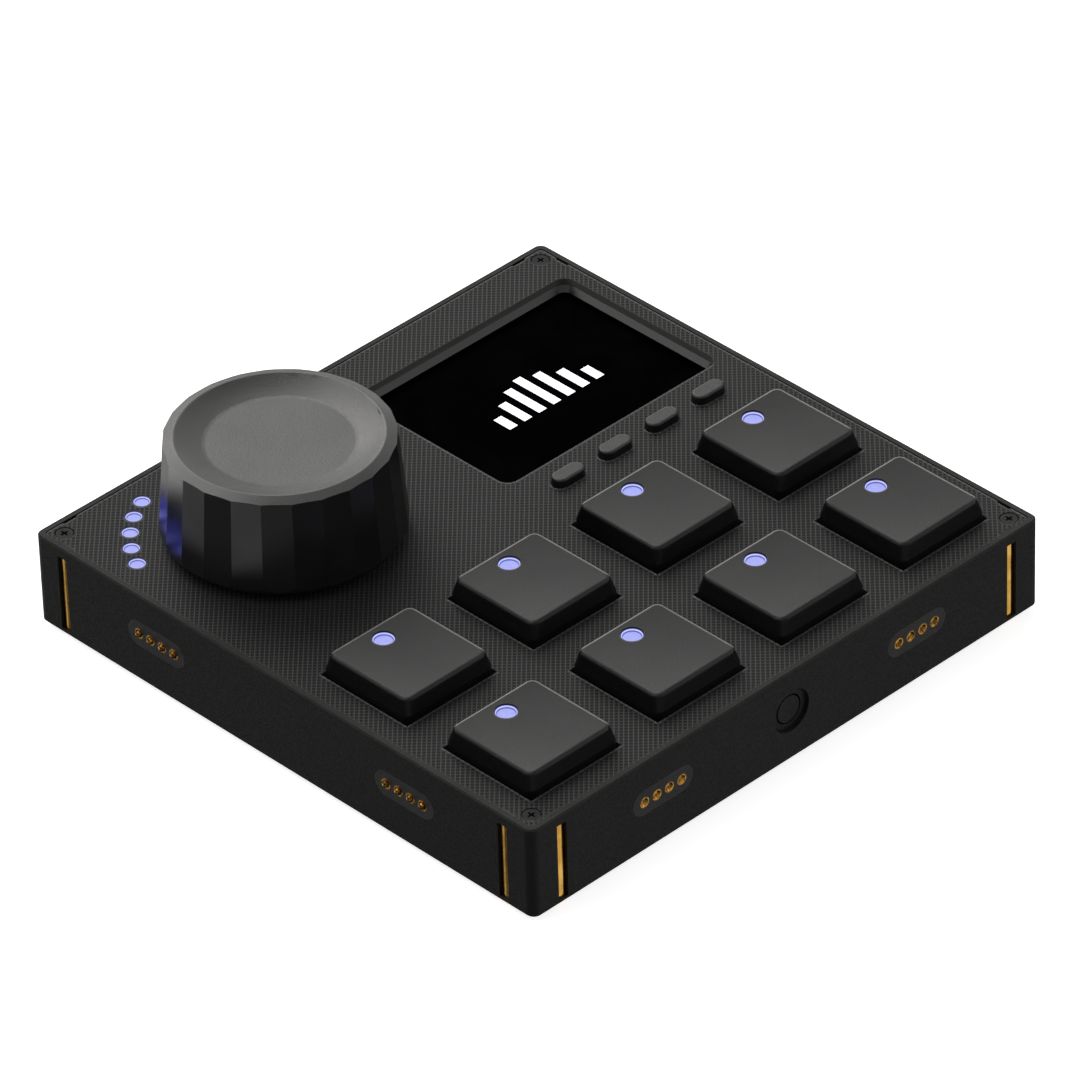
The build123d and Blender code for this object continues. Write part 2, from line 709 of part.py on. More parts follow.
# Encoder shaft, round in the bushing and flatted in the knob's hub
with BuildPart() as encoder_shaft:
    with BuildSketch(Plane((knob_x, knob_y, shaft_bottom_z))):
        Circle(shaft_diameter / 2)
    extrude(amount=shaft_top_z - shaft_bottom_z)
    with BuildSketch(Plane((knob_x, knob_y, hub_bottom_z - hub_gap / 2))):
        with Locations((0, shaft_flat + shaft_diameter / 2)):
            Rectangle(shaft_diameter, shaft_diameter)
    extrude(amount=shaft_top_z - hub_bottom_z + hub_gap, mode=Mode.SUBTRACT)
encoder_shaft.part.label = "encoder_shaft"
export_step(encoder_shaft.part, "parts/encoder_shaft.step")

# Bezel frame under the plate's opening, with a sloped inner edge down to the glass
with BuildPart() as display_frame:
    with BuildSketch(Plane((display_x, display_y, glass_top_z))):
        Rectangle(display_width, display_height)
    extrude(amount=display_lip)
    with BuildSketch(Plane((display_x, display_y, plate_under_z))):
        RectangleRounded(display_opening_width, display_opening_height, display_corner_radius)
    extrude(amount=-display_lip, taper=degrees(atan2(display_lip_inset, display_lip)), mode=Mode.SUBTRACT)
display_frame.part.label = "display_frame"
export_step(display_frame.part, "parts/display_frame.step")

# Cover glass, display panel and the foam pad that carries them on the board
display_layers = {
    "display_glass": (panel_top_z, display_glass_thickness),
    "display_panel": (pad_top_z, display_panel_thickness),
    "display_pad": (board_top_z, pad_top_z - board_top_z),
}
for name, (layer_z, layer_thickness) in display_layers.items():
    with BuildPart() as display_layer:
        with BuildSketch(Plane((display_x, display_y, layer_z))):
            Rectangle(display_width, display_height)
        extrude(amount=layer_thickness)
    display_layer.part.label = name
    export_step(display_layer.part, f"parts/{name}.step")

# Menu buttons, held under the plate by a flange, each with a post over its switch
flange_top_z = plate_under_z - seat_gap
flange_bottom_z = flange_top_z - menu_flange_thickness
menu_post_z = flange_bottom_z - menu_post_length
for number, (menu_x, row_y) in enumerate(menu_places, start=1):
    with BuildPart() as menu_button:
        with BuildSketch(Plane((menu_x, row_y, flange_top_z))):
            SlotOverall(menu_length, menu_width)
        extrude(amount=plate_top_z + menu_rise - flange_top_z)
        fillet(menu_button.edges().group_by(Axis.Z)[-1], menu_edge_radius)
        with BuildSketch(Plane((menu_x, row_y, flange_bottom_z))):
            SlotOverall(menu_length + 2 * menu_flange, menu_flange_width)
        extrude(amount=menu_flange_thickness)
        with BuildSketch(Plane((menu_x, row_y, menu_post_z))):
            Circle(menu_post_diameter / 2)
        extrude(amount=menu_post_length)
    menu_button.part.label = f"menu_button_{number}"
    export_step(menu_button.part, f"parts/menu_button_{number}.step")

# Tact switches under the menu buttons
tact_top_z = menu_post_z - menu_travel - press_gap
with BuildPart() as tact_switches:
    with BuildSketch(Plane.XY.offset(board_top_z)):
        with Locations(*menu_places):
            Rectangle(tact_width, tact_width)
    extrude(amount=tact_height)
    with BuildSketch(Plane.XY.offset(board_top_z)):
        with Locations(*menu_places):
            Circle(tact_actuator_diameter / 2)
    extrude(amount=tact_top_z - board_top_z)
tact_switches.part.label = "tact_switches"
export_step(tact_switches.part, "parts/tact_switches.step")

# Round button in the front wall: face, stem through the wall, flange behind it and a nub
flange_depth = wall_thickness + seat_gap
nub_depth = flange_depth + side_flange_thickness
with BuildPart() as side_button:
    with BuildSketch(front_face.offset(-side_recess_depth)):
        with Locations((0, port_z)):
            Circle(side_button_diameter / 2)
    extrude(amount=side_recess_depth - flange_depth)
    with BuildSketch(front_face.offset(-flange_depth)):
        with Locations((0, port_z)):
            Circle(side_flange_diameter / 2)
    extrude(amount=-side_flange_thickness)
    with BuildSketch(front_face.offset(-nub_depth)):
        with Locations((0, port_z)):
            Circle(side_nub_diameter / 2)
    extrude(amount=-side_nub_length)
side_button.part.label = "side_button"
export_step(side_button.part, "parts/side_button.step")

# Side-acting switch on the board behind the round button
side_actuator_depth = nub_depth + side_nub_length + side_travel + press_gap
with BuildPart() as side_switch:
    with BuildSketch(front_face.offset(-side_actuator_depth - side_actuator_length)):
        with Locations((0, port_z)):
            Rectangle(side_switch_width, side_switch_height)
    extrude(amount=-side_switch_depth)
    with BuildSketch(front_face.offset(-side_actuator_depth)):
        with Locations((0, port_z)):
            Circle(side_actuator_diameter / 2)
    extrude(amount=-side_actuator_length)
side_switch.part.label = "side_switch"
export_step(side_switch.part, "parts/side_switch.step")

# Connector inserts in all four walls, bored for their contacts
with BuildPart() as connector_blocks:
    for side in sides:
        with BuildSketch(sides[side][0]):
            with Locations(*connector_places[side]):
                SlotOverall(connector_length, connector_height)
        extrude(amount=-connector_depth)
        with BuildSketch(sides[side][0]):
            with Locations(*connector_places[side]):
                with GridLocations(pin_pitch, pin_pitch, pin_count, 1):
                    Circle(barrel_bore_radius)
        extrude(amount=-connector_depth, mode=Mode.SUBTRACT)
connector_blocks.part.label = "connector_blocks"
export_step(connector_blocks.part, "parts/connector_blocks.step")

# Barrels that guide the sprung pins, on the left and at the back
with BuildPart() as pin_barrels:
    for side in pin_sides:
        with BuildSketch(sides[side][0]):
            with Locations(*connector_places[side]):
                with GridLocations(pin_pitch, pin_pitch, pin_count, 1):
                    Circle(barrel_diameter / 2)
                    Circle(pin_diameter / 2 + pin_clearance, mode=Mode.SUBTRACT)
        extrude(amount=-connector_depth)
pin_barrels.part.label = "pin_barrels"
export_step(pin_barrels.part, "parts/pin_barrels.step")

# Sprung pins, one set for each of those connectors
pin_length = connector_depth - pin_travel + pin_tip_rise
for side in pin_sides:
    face = sides[side][0]
    outwards = Axis(face.origin, face.z_dir)
    for number, (along, up) in enumerate(connector_places[side], start=1):
        with BuildPart() as pin_set:
            with BuildSketch(face.offset(pin_tip_rise)):
                with Locations((along, up)):
                    with GridLocations(pin_pitch, pin_pitch, pin_count, 1):
                        Circle(pin_diameter / 2)
            extrude(amount=-pin_length)
            fillet(pin_set.edges().group_by(outwards)[-1], pin_dome_radius)
        pin_set.part.label = f"pin_set_{side}_{number}"
        export_step(pin_set.part, f"parts/pin_set_{side}_{number}.step")

# Fixed contact cups at the front and on the right
with BuildPart() as contact_cups:
    for side in cup_sides:
        with BuildSketch(sides[side][0]):
            with Locations(*connector_places[side]):
                with GridLocations(pin_pitch, pin_pitch, pin_count, 1):
                    Circle(barrel_diameter / 2)
        extrude(amount=-connector_depth)
        with BuildSketch(sides[side][0]):
            with Locations(*connector_places[side]):
                with GridLocations(pin_pitch, pin_pitch, pin_count, 1):
                    Circle(cup_dish_diameter / 2)
        extrude(amount=-cup_dish_depth, taper=cup_dish_taper, mode=Mode.SUBTRACT)
contact_cups.part.label = "contact_cups"
export_step(contact_cups.part, "parts/contact_cups.step")

# USB-C socket on the board's back edge: a hollow shell with its tongue
usb_z = board_top_z + usb_height / 2
with BuildPart() as usb_socket:
    with BuildSketch(back_face.offset(-usb_recess)):
        with Locations((usb_offset, usb_z)):
            SlotOverall(usb_width, usb_height)
    extrude(amount=-usb_length)
    with BuildSketch(back_face.offset(-usb_recess)):
        with Locations((usb_offset, usb_z)):
            SlotOverall(usb_width - 2 * usb_shell, usb_height - 2 * usb_shell)
    extrude(amount=-usb_mouth_depth, mode=Mode.SUBTRACT)
    with BuildSketch(back_face.offset(-usb_recess - usb_tongue_inset)):
        with Locations((usb_offset, usb_z)):
            Rectangle(usb_tongue_width, usb_tongue_thickness)
    extrude(amount=usb_tongue_inset - usb_mouth_depth)
usb_socket.part.label = "usb_socket"
export_step(usb_socket.part, "parts/usb_socket.step")
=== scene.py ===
"""Looks of a desktop midi controller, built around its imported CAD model.

Lengths are in metres in the CAD frame: +X is the player's right, +Y points away from
the player, +Z is up, and the feet stand on the plane z = 0.
"""

from __future__ import annotations

import logging
import math
from dataclasses import dataclass, field
from enum import Enum
from typing import Any, Sequence, Union

import bmesh
import bpy
from mathutils import Matrix, Vector

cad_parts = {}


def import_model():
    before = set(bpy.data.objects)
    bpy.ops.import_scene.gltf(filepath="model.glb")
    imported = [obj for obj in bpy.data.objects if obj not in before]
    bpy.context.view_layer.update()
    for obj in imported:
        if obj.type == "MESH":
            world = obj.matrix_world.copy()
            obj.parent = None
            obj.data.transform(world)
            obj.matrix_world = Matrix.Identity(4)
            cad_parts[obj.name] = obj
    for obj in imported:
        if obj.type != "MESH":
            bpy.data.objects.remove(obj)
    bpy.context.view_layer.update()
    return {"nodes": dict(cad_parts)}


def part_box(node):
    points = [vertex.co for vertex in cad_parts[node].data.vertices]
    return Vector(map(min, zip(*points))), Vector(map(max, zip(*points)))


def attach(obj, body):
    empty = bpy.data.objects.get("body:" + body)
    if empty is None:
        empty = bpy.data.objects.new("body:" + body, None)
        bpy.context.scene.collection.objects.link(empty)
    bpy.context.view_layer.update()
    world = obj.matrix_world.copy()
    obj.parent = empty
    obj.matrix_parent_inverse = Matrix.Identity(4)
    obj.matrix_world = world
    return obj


LOG = logging.getLogger("midi_controller")

Colour = tuple[float, float, float]
Socket = bpy.types.NodeSocket
Feed = Union[float, Sequence[float], Socket]
Span = tuple[float, float]

# The ends between which a noise texture mostly runs.
NOISE_SPAN: Span = (0.3, 0.7)


def opaque(colour: Colour) -> tuple[float, float, float, float]:
    """Returns a colour with full alpha.

    Args:
        colour: The colour.
    """
    return (*colour, 1.0)


class Effect(Enum):
    """The surface effects that several finishes share, each one node group."""

    GRAIN = "moulded_grain"
    HATCH = "cross_hatch"
    SMUDGE = "handling_smudge"
    EDGE = "edge_wear_and_highlight"
    STREAK = "drawn_streak"
    PANEL = "light_panel"


class Graph:
    """Short ways to add and join the nodes of one node tree."""

    def __init__(self, tree: bpy.types.NodeTree) -> None:
        """Keeps the tree and empties it.

        Args:
            tree: The node tree of a material, a world or a group.
        """
        self.tree = tree
        tree.nodes.clear()

    def add(self, kind: str, **settings: Any) -> bpy.types.Node:
        """Adds a node.

        Args:
            kind: The node's type name.
            **settings: Properties that are set on it.

        Returns:
            The new node.
        """
        node = self.tree.nodes.new(kind)
        for key, value in settings.items():
            setattr(node, key, value)
        return node

    def feed(self, target: Socket, value: Feed) -> None:
        """Links a socket to an input, or sets a constant on it.

        Args:
            target: The input socket.
            value: A socket to link from, or the constant.
        """
        if isinstance(value, bpy.types.NodeSocket):
            self.tree.links.new(value, target)
        else:
            target.default_value = value

    def math(self, operation: str, first: Feed, second: Feed = 0.0, clamp: bool = False) -> Socket:
        """Adds a Math node.

        Args:
            operation: The node's operation.
            first: The first value.
            second: The second value.
            clamp: Whether the result is held between 0 and 1.

        Returns:
            The node's output.
        """
        node = self.add("ShaderNodeMath", operation=operation, use_clamp=clamp)
        self.feed(node.inputs[0], first)
        self.feed(node.inputs[1], second)
        return node.outputs[0]

    def square(self, value: Socket) -> Socket:
        """Returns a value times itself.

        Args:
            value: The value.
        """
        return self.math("MULTIPLY", value, value)

    def wave(self, value: Socket) -> Socket:
        """Runs up and down between 0 and 1, once for each unit of a value.

        Args:
            value: The value.

        Returns:
            The wave.
        """
        return self.math("MULTIPLY", self.math("PINGPONG", value, 0.5), 2.0)

    def remap(
        self, value: Feed, low: Feed, high: Feed, to_low: float = 0.0, to_high: float = 1.0
    ) -> Socket:
        """Maps a value smoothly from one range to another, held at its ends.

        Args:
            value: The value that is mapped.
            low: The lower end of its range.
            high: The upper end of its range.
            to_low: What the lower end becomes.
            to_high: What the upper end becomes.

        Returns:
            The mapped value.
        """
        node = self.add("ShaderNodeMapRange", interpolation_type="SMOOTHSTEP")
        for socket, given in zip(node.inputs, (value, low, high, to_low, to_high)):
            self.feed(socket, given)
        return node.outputs[0]

    def window(self, distance: Socket, reach: Feed, soft: Feed) -> Socket:
        """Fades from 1 to 0 where a distance passes its reach.

        Args:
            distance: The distance.
            reach: Where the fade is half done.
            soft: Half the width of the fade.

        Returns:
            The faded value.
        """
        near = self.math("SUBTRACT", reach, soft)
        far = self.math("ADD", reach, soft)
        return self.remap(distance, near, far, 1.0, 0.0)

    def noise(
        self, vector: Socket, scale: float, detail: float = 2.0, distortion: float = 0.0
    ) -> Socket:
        """Adds a noise texture.

        Args:
            vector: The coordinates that it reads.
            scale: Its scale in those coordinates.
            detail: Its octaves.
            distortion: How far it is pulled about.

        Returns:
            The noise between 0 and 1.
        """
        node = self.add("ShaderNodeTexNoise")
        self.feed(node.inputs["Vector"], vector)
        node.inputs["Scale"].default_value = scale
        node.inputs["Detail"].default_value = detail
        node.inputs["Distortion"].default_value = distortion
        return node.outputs[0]

    def scaled(self, vector: Socket, factor: Feed) -> Socket:
        """Multiplies a vector by one number.

        Args:
            vector: The vector.
            factor: The number.

        Returns:
            The longer or shorter vector.
        """
        node = self.add("ShaderNodeVectorMath", operation="SCALE")
        self.feed(node.inputs[0], vector)
        self.feed(node.inputs["Scale"], factor)
        return node.outputs[0]

    def parts(self, vector: Socket) -> tuple[Socket, Socket, Socket]:
        """Splits a vector.

        Args:
            vector: The vector.

        Returns:
            Its x, y and z.
        """
        node = self.add("ShaderNodeSeparateXYZ")
        self.feed(node.inputs[0], vector)
        return node.outputs[0], node.outputs[1], node.outputs[2]

    def place(self) -> Socket:
        """Returns the point's Object coordinates, in metres."""
        return self.add("ShaderNodeTexCoord").outputs["Object"]

    def level(self, low: float, high: float) -> Socket:
        """Finds the faces that look up.

        Args:
            low: The upward part of the normal where the mask starts.
            high: The upward part where it is full.

        Returns:
            The mask.
        """
        _, _, upward = self.parts(self.add("ShaderNodeNewGeometry").outputs["True Normal"])
        return self.remap(upward, low, high)

    def blend(self, factor: Socket, first: Feed, second: Feed) -> Socket:
        """Mixes two colours.

        Args:
            factor: 0 for the first colour, 1 for the second.
            first: The first colour.
            second: The second colour.

        Returns:
            The mixed colour.
        """
        node = self.add("ShaderNodeMix", data_type="RGBA")
        self.feed(node.inputs[0], factor)
        self.feed(node.inputs[6], first)
        self.feed(node.inputs[7], second)
        return node.outputs[2]

    def bump(self, height: Socket, distance: float) -> Socket:
        """Turns a height into a normal.

        Args:
            height: The height.
            distance: How high 1 stands, in metres.

        Returns:
            The bumped normal.
        """
        node = self.add("ShaderNodeBump")
        node.inputs["Strength"].default_value = 1.0
        node.inputs["Distance"].default_value = distance
        self.feed(node.inputs["Height"], height)
        return node.outputs[0]

    def effect(self, which: Effect, **values: float) -> dict[str, Socket]:
        """Places a shared effect.

        Args:
            which: The effect.
            **values: Its inputs by name.

        Returns:
            Its outputs by name.
        """
        node = self.add("ShaderNodeGroup", node_tree=Effects.group(which))
        for name, value in values.items():
            node.inputs[name].default_value = value
        return {socket.name: socket for socket in node.outputs}


class Effects:
    """Builds each shared effect once."""

    drift_scale: float = 0.021
    hatch_turn: float = 45.0
    smudge_pull: float = 0.6
    smudge_span: Span = (0.38, 0.68)
    edge_samples: int = 4
    edge_turn: Span = (0.01, 0.2)
    break_scale: float = 900.0
    break_span: Span = (0.25, 0.7)
    break_depth: Span = (0.55, 1.0)
    # Where the painted highlight on the edges that turn to the back and the right fades in.
    far_highlight_lean: Span = (0.08, 0.3)
    far_highlight_rise: Span = (0.6, 0.8)
    streak_stretch: tuple[float, float, float] = (1.0, 1.0, 0.03)
    cloud_scale: float = 0.05
    cloud_span: Span = (0.35, 0.65)

    @staticmethod
    def group(which: Effect) -> bpy.types.NodeTree:
        """Returns the node group of an effect, and makes it the first time.

        Args:
            which: The effect.

        Returns:
            Its node group.
        """
        made = bpy.data.node_groups.get(which.value)
        if made is None:
            made = bpy.data.node_groups.new(which.value, "ShaderNodeTree")
            makers = {
                Effect.GRAIN: Effects.grain,
                Effect.HATCH: Effects.hatch,
                Effect.SMUDGE: Effects.smudge,
                Effect.EDGE: Effects.edge,
                Effect.STREAK: Effects.streak,
                Effect.PANEL: Effects.panel,
            }
            makers[which](made)
        return made

    @staticmethod
    def start(
        tree: bpy.types.NodeTree, inputs: Sequence[str], outputs: Sequence[str]
    ) -> tuple[Graph, Any, Any]:
        """Gives a group its sockets.

        Args:
            tree: The group.
            inputs: The names of its inputs.
            outputs: The names of its outputs.

        Returns:
            The graph, the group's inputs and its outputs.
        """
        graph = Graph(tree)
        for name in inputs:
            tree.interface.new_socket(name, in_out="INPUT", socket_type="NodeSocketFloat")
        for name in outputs:
            tree.interface.new_socket(name, in_out="OUTPUT", socket_type="NodeSocketFloat")
        return graph, graph.add("NodeGroupInput").outputs, graph.add("NodeGroupOutput").inputs

    @staticmethod
    def grain(tree: bpy.types.NodeTree) -> None:
        """Builds the spark-eroded grain of a mould, and a slow drift of tone over it.

        Args:
            tree: The empty group.
        """
        graph, given, result = Effects.start(tree, ["Pitch"], ["Height", "Drift"])
        unit = graph.scaled(graph.place(), graph.math("DIVIDE", 1.0, given["Pitch"]))
        fine = graph.noise(unit, 1.0, detail=2.0)
        slow = graph.noise(unit, Effects.drift_scale, detail=3.0)
        graph.feed(result["Height"], graph.remap(fine, *NOISE_SPAN))
        graph.feed(result["Drift"], graph.remap(slow, *NOISE_SPAN))

    @staticmethod
    def hatch(tree: bpy.types.NodeTree) -> None:
        """Builds two families of fine ridges that cross along the diagonals.

        Args:
            tree: The empty group.
        """
        graph, given, result = Effects.start(tree, ["Pitch", "Ridge", "Cross"], ["Height"])
        turned = graph.add("ShaderNodeMapping", vector_type="POINT")
        turned.inputs["Rotation"].default_value = (0.0, 0.0, math.radians(Effects.hatch_turn))
        graph.feed(turned.inputs["Vector"], graph.place())
        unit = graph.scaled(turned.outputs[0], graph.math("DIVIDE", 1.0, given["Pitch"]))
        across, along, _ = graph.parts(unit)
        foot = graph.math("SUBTRACT", 1.0, given["Ridge"])
        rows = graph.remap(graph.wave(across), foot, 1.0)
        lines = graph.remap(graph.wave(along), foot, 1.0)
        fainter = graph.math("MULTIPLY", lines, given["Cross"])
        graph.feed(result["Height"], graph.math("MAXIMUM", rows, fainter))

    @staticmethod
    def smudge(tree: bpy.types.NodeTree) -> None:
        """Builds the patches that handling leaves in a gloss.

        Args:
            tree: The empty group.
        """
        graph, given, result = Effects.start(tree, ["Size"], ["Mask"])
        unit = graph.scaled(graph.place(), graph.math("DIVIDE", 1.0, given["Size"]))
        patches = graph.noise(unit, 1.0, detail=4.0, distortion=Effects.smudge_pull)
        graph.feed(result["Mask"], graph.remap(patches, *Effects.smudge_span))

    @staticmethod
    def edge(tree: bpy.types.NodeTree) -> None:
        """Finds the worn edges, which are polished and get a painted highlight, and the crests that
        turn to the back and the right, which get a painted highlight.

        Args:
            tree: The empty group.
        """
        graph, given, result = Effects.start(tree, ["Radius"], ["Mask", "Far Highlight"])
        rounded = graph.add("ShaderNodeBevel", samples=Effects.edge_samples)
        graph.feed(rounded.inputs["Radius"], given["Radius"])
        facing = graph.add("ShaderNodeVectorMath", operation="DOT_PRODUCT")
        graph.feed(facing.inputs[0], rounded.outputs[0])
        graph.feed(facing.inputs[1], graph.add("ShaderNodeNewGeometry").outputs["Normal"])
        turned = graph.math("SUBTRACT", 1.0, facing.outputs["Value"])
        broken = graph.noise(graph.place(), Effects.break_scale, detail=3.0)
        kept = graph.remap(broken, *Effects.break_span, *Effects.break_depth)
        worn = graph.math("MULTIPLY", graph.remap(turned, *Effects.edge_turn), kept)
        graph.feed(result["Mask"], worn)
        right, away, up = graph.parts(rounded.outputs[0])
        leaning = graph.remap(graph.math("ADD", right, away), *Effects.far_highlight_lean)
        upper = graph.remap(up, *Effects.far_highlight_rise)
        graph.feed(result["Far Highlight"], graph.math("MULTIPLY", leaning, upper))

    @staticmethod
    def streak(tree: bpy.types.NodeTree) -> None:
        """Builds the fine lines of drawn or brushed metal, along z.

        Args:
            tree: The empty group.
        """
        graph, given, result = Effects.start(tree, ["Pitch"], ["Mask", "Cloud"])
        unit = graph.scaled(graph.place(), graph.math("DIVIDE", 1.0, given["Pitch"]))
        stretched = graph.add("ShaderNodeMapping", vector_type="POINT")
        stretched.inputs["Scale"].default_value = Effects.streak_stretch
        graph.feed(stretched.inputs["Vector"], unit)
        lines = graph.noise(stretched.outputs[0], 1.0, detail=3.0)
        clouds = graph.noise(unit, Effects.cloud_scale, detail=3.0)
        graph.feed(result["Mask"], graph.remap(lines, *NOISE_SPAN))
        graph.feed(result["Cloud"], graph.remap(clouds, *Effects.cloud_span))

    @staticmethod
    def panel(tree: bpy.types.NodeTree) -> None:
        """Builds the soft-edged patch of the surroundings that a studio panel fills.

        Args:
            tree: The empty group.
        """
        sizes = ["Azimuth", "Reach", "Elevation", "Rise", "Soft"]
        graph, given, result = Effects.start(tree, sizes, ["Mask"])
        east, north, up = graph.parts(graph.add("ShaderNodeTexCoord").outputs["Generated"])
        swing = graph.math("SUBTRACT", graph.math("ARCTAN2", north, east), given["Azimuth"])
        turn = graph.math("ARCCOSINE", graph.math("COSINE", swing))
        climb = graph.math("SUBTRACT", graph.math("ARCSINE", up), given["Elevation"])
        lift = graph.math("ABSOLUTE", climb)
        sides = graph.window(turn, given["Reach"], given["Soft"])
        ends = graph.window(lift, given["Rise"], given["Soft"])
        graph.feed(result["Mask"], graph.math("MULTIPLY", sides, ends))


@dataclass(frozen=True)
class Finish:
    """A surface finish. A subclass wires its nodes."""

    name: str

    def material(self) -> bpy.types.Material:
        """Returns the finish's material, and builds it the first time."""
        made = bpy.data.materials.get(self.name)
        if made is None:
            made = bpy.data.materials.new(self.name)
            made.use_nodes = True
            graph = Graph(made.node_tree)
            shader = graph.add("ShaderNodeBsdfPrincipled")
            output = graph.add("ShaderNodeOutputMaterial")
            graph.feed(output.inputs["Surface"], shader.outputs[0])
            self.wire(graph, shader.inputs)
        return made

    def wire(self, graph: Graph, shader: Any) -> None:
        """Feeds the shader.

        Args:
            graph: The material's graph.
            shader: The shader's inputs.
        """
        raise NotImplementedError


@dataclass(frozen=True)
class MouldedPlastic(Finish):
    """Matte plastic with a mould grain, a drifting tone and edges polished by touch.

    lift lightens the worn edges, partly as wear and partly as a painted highlight. The next two
    fields are the painted shade of the faces that don't look up and the painted highlight on the
    edges that turn to the back and the right. All three are factors of the colour.
    """

    colour: Colour = (0.02, 0.02, 0.02)
    drift: float = 0.12
    roughness: float = 0.55
    spread: float = 0.08
    grain: float = 0.00022
    depth: float = 0.000012
    specular: float = 0.35
    edge: float = 0.00035
    # Lightens worn edges: partly wear, partly a painted highlight.
    lift: float = 1.6
    # Painted shade on the faces that don't look up, or painted light where above 1.
    painted_flank_shade: float = 1.0
    # Painted highlight on the edges that turn to the back and the right.
    far_edge_highlight: float = 1.0
    upward: Span = (0.45, 0.9)

    def wire(self, graph: Graph, shader: Any) -> None:
        """Feeds the shader.

        Args:
            graph: The material's graph.
            shader: The shader's inputs.
        """
        grain = graph.effect(Effect.GRAIN, Pitch=self.grain)
        edge = graph.effect(Effect.EDGE, Radius=self.edge)
        graph.feed(shader["Base Color"], self.tone(graph, grain["Drift"], edge))
        graph.feed(shader["Roughness"], self.gloss(graph, grain["Height"], edge["Mask"]))
        graph.feed(shader["Normal"], graph.bump(grain["Height"], self.depth))
        shader["Specular IOR Level"].default_value = self.specular

    def shade(self, factor: float) -> tuple[float, float, float, float]:
        """Returns the colour times a factor, with alpha.

        Args:
            factor: The factor.
        """
        return (*(min(1.0, part * factor) for part in self.colour), 1.0)

    def tone(self, graph: Graph, drift: Socket, edge: dict[str, Socket]) -> Socket:
        """Mixes the base colour.

        Args:
            graph: The material's graph.
            drift: The slow drift of tone.
            edge: The masks of the worn edges and of the edges that turn to the back and the right,
                both with a painted highlight.

        Returns:
            The colour.
        """
        body = graph.blend(drift, self.shade(1.0 - self.drift), self.shade(1.0 + self.drift))
        # Worn edges lightened: partly wear, partly a painted highlight.
        face = graph.blend(edge["Mask"], body, self.shade(self.lift))
        # Painted shade, or painted light, on the faces that don't look up.
        if self.painted_flank_shade != 1.0:
            face = graph.blend(graph.level(*self.upward), self.shade(self.painted_flank_shade), face)
        # Painted highlight on the edges that turn to the back and the right.
        if self.far_edge_highlight != 1.0:
            face = graph.blend(edge["Far Highlight"], face, self.shade(self.far_edge_highlight))
        return face

    def gloss(self, graph: Graph, height: Socket, edge: Socket) -> Socket:
        """Mixes the roughness.

        Args:
            graph: The material's graph.
            height: The grain's height.
            edge: The mask of polished edges.

        Returns:
            The roughness.
        """
        rough, smooth = self.roughness + self.spread, self.roughness - self.spread
        grained = graph.remap(height, 0.0, 1.0, rough, smooth)
        return graph.math("SUBTRACT", grained, graph.math("MULTIPLY", edge, self.spread))


@dataclass(frozen=True)
class CrownedPlastic(MouldedPlastic):
    """Moulded plastic of the keys, whose tops are a little crowned across and dished along.

    pitch and offset are those of the grid of keys. crown and dish times the squared distance
    from a key's middle give the height.
    """

    pitch: float = 0.025797
    offset: float = 0.025701
    crown: float = 5.5
    dish: float = 6.0

    def wire(self, graph: Graph, shader: Any) -> None:
        """Feeds the shader.

        Args:
            graph: The material's graph.
            shader: The shader's inputs.
        """
        super().wire(graph, shader)
        right, away, _ = graph.parts(graph.place())
        across = self.from_middle(graph, right)
        along = self.from_middle(graph, graph.math("ADD", away, self.offset))
        fall = graph.math("MULTIPLY", graph.square(across), -self.crown)
        rise = graph.math("MULTIPLY", graph.square(along), self.dish)
        crowned = graph.bump(graph.math("ADD", fall, rise), 1.0)
        graph.feed(shader["Normal"].links[0].from_node.inputs["Normal"], crowned)

    def from_middle(self, graph: Graph, value: Socket) -> Socket:
        """Measures how far a place lies from the middle of its key.

        Args:
            graph: The material's graph.
            value: The place along one axis, in metres.

        Returns:
            The distance, in metres.
        """
        share = graph.math("FRACT", graph.math("DIVIDE", value, self.pitch))
        return graph.math("MULTIPLY", graph.math("SUBTRACT", share, 0.5), self.pitch)


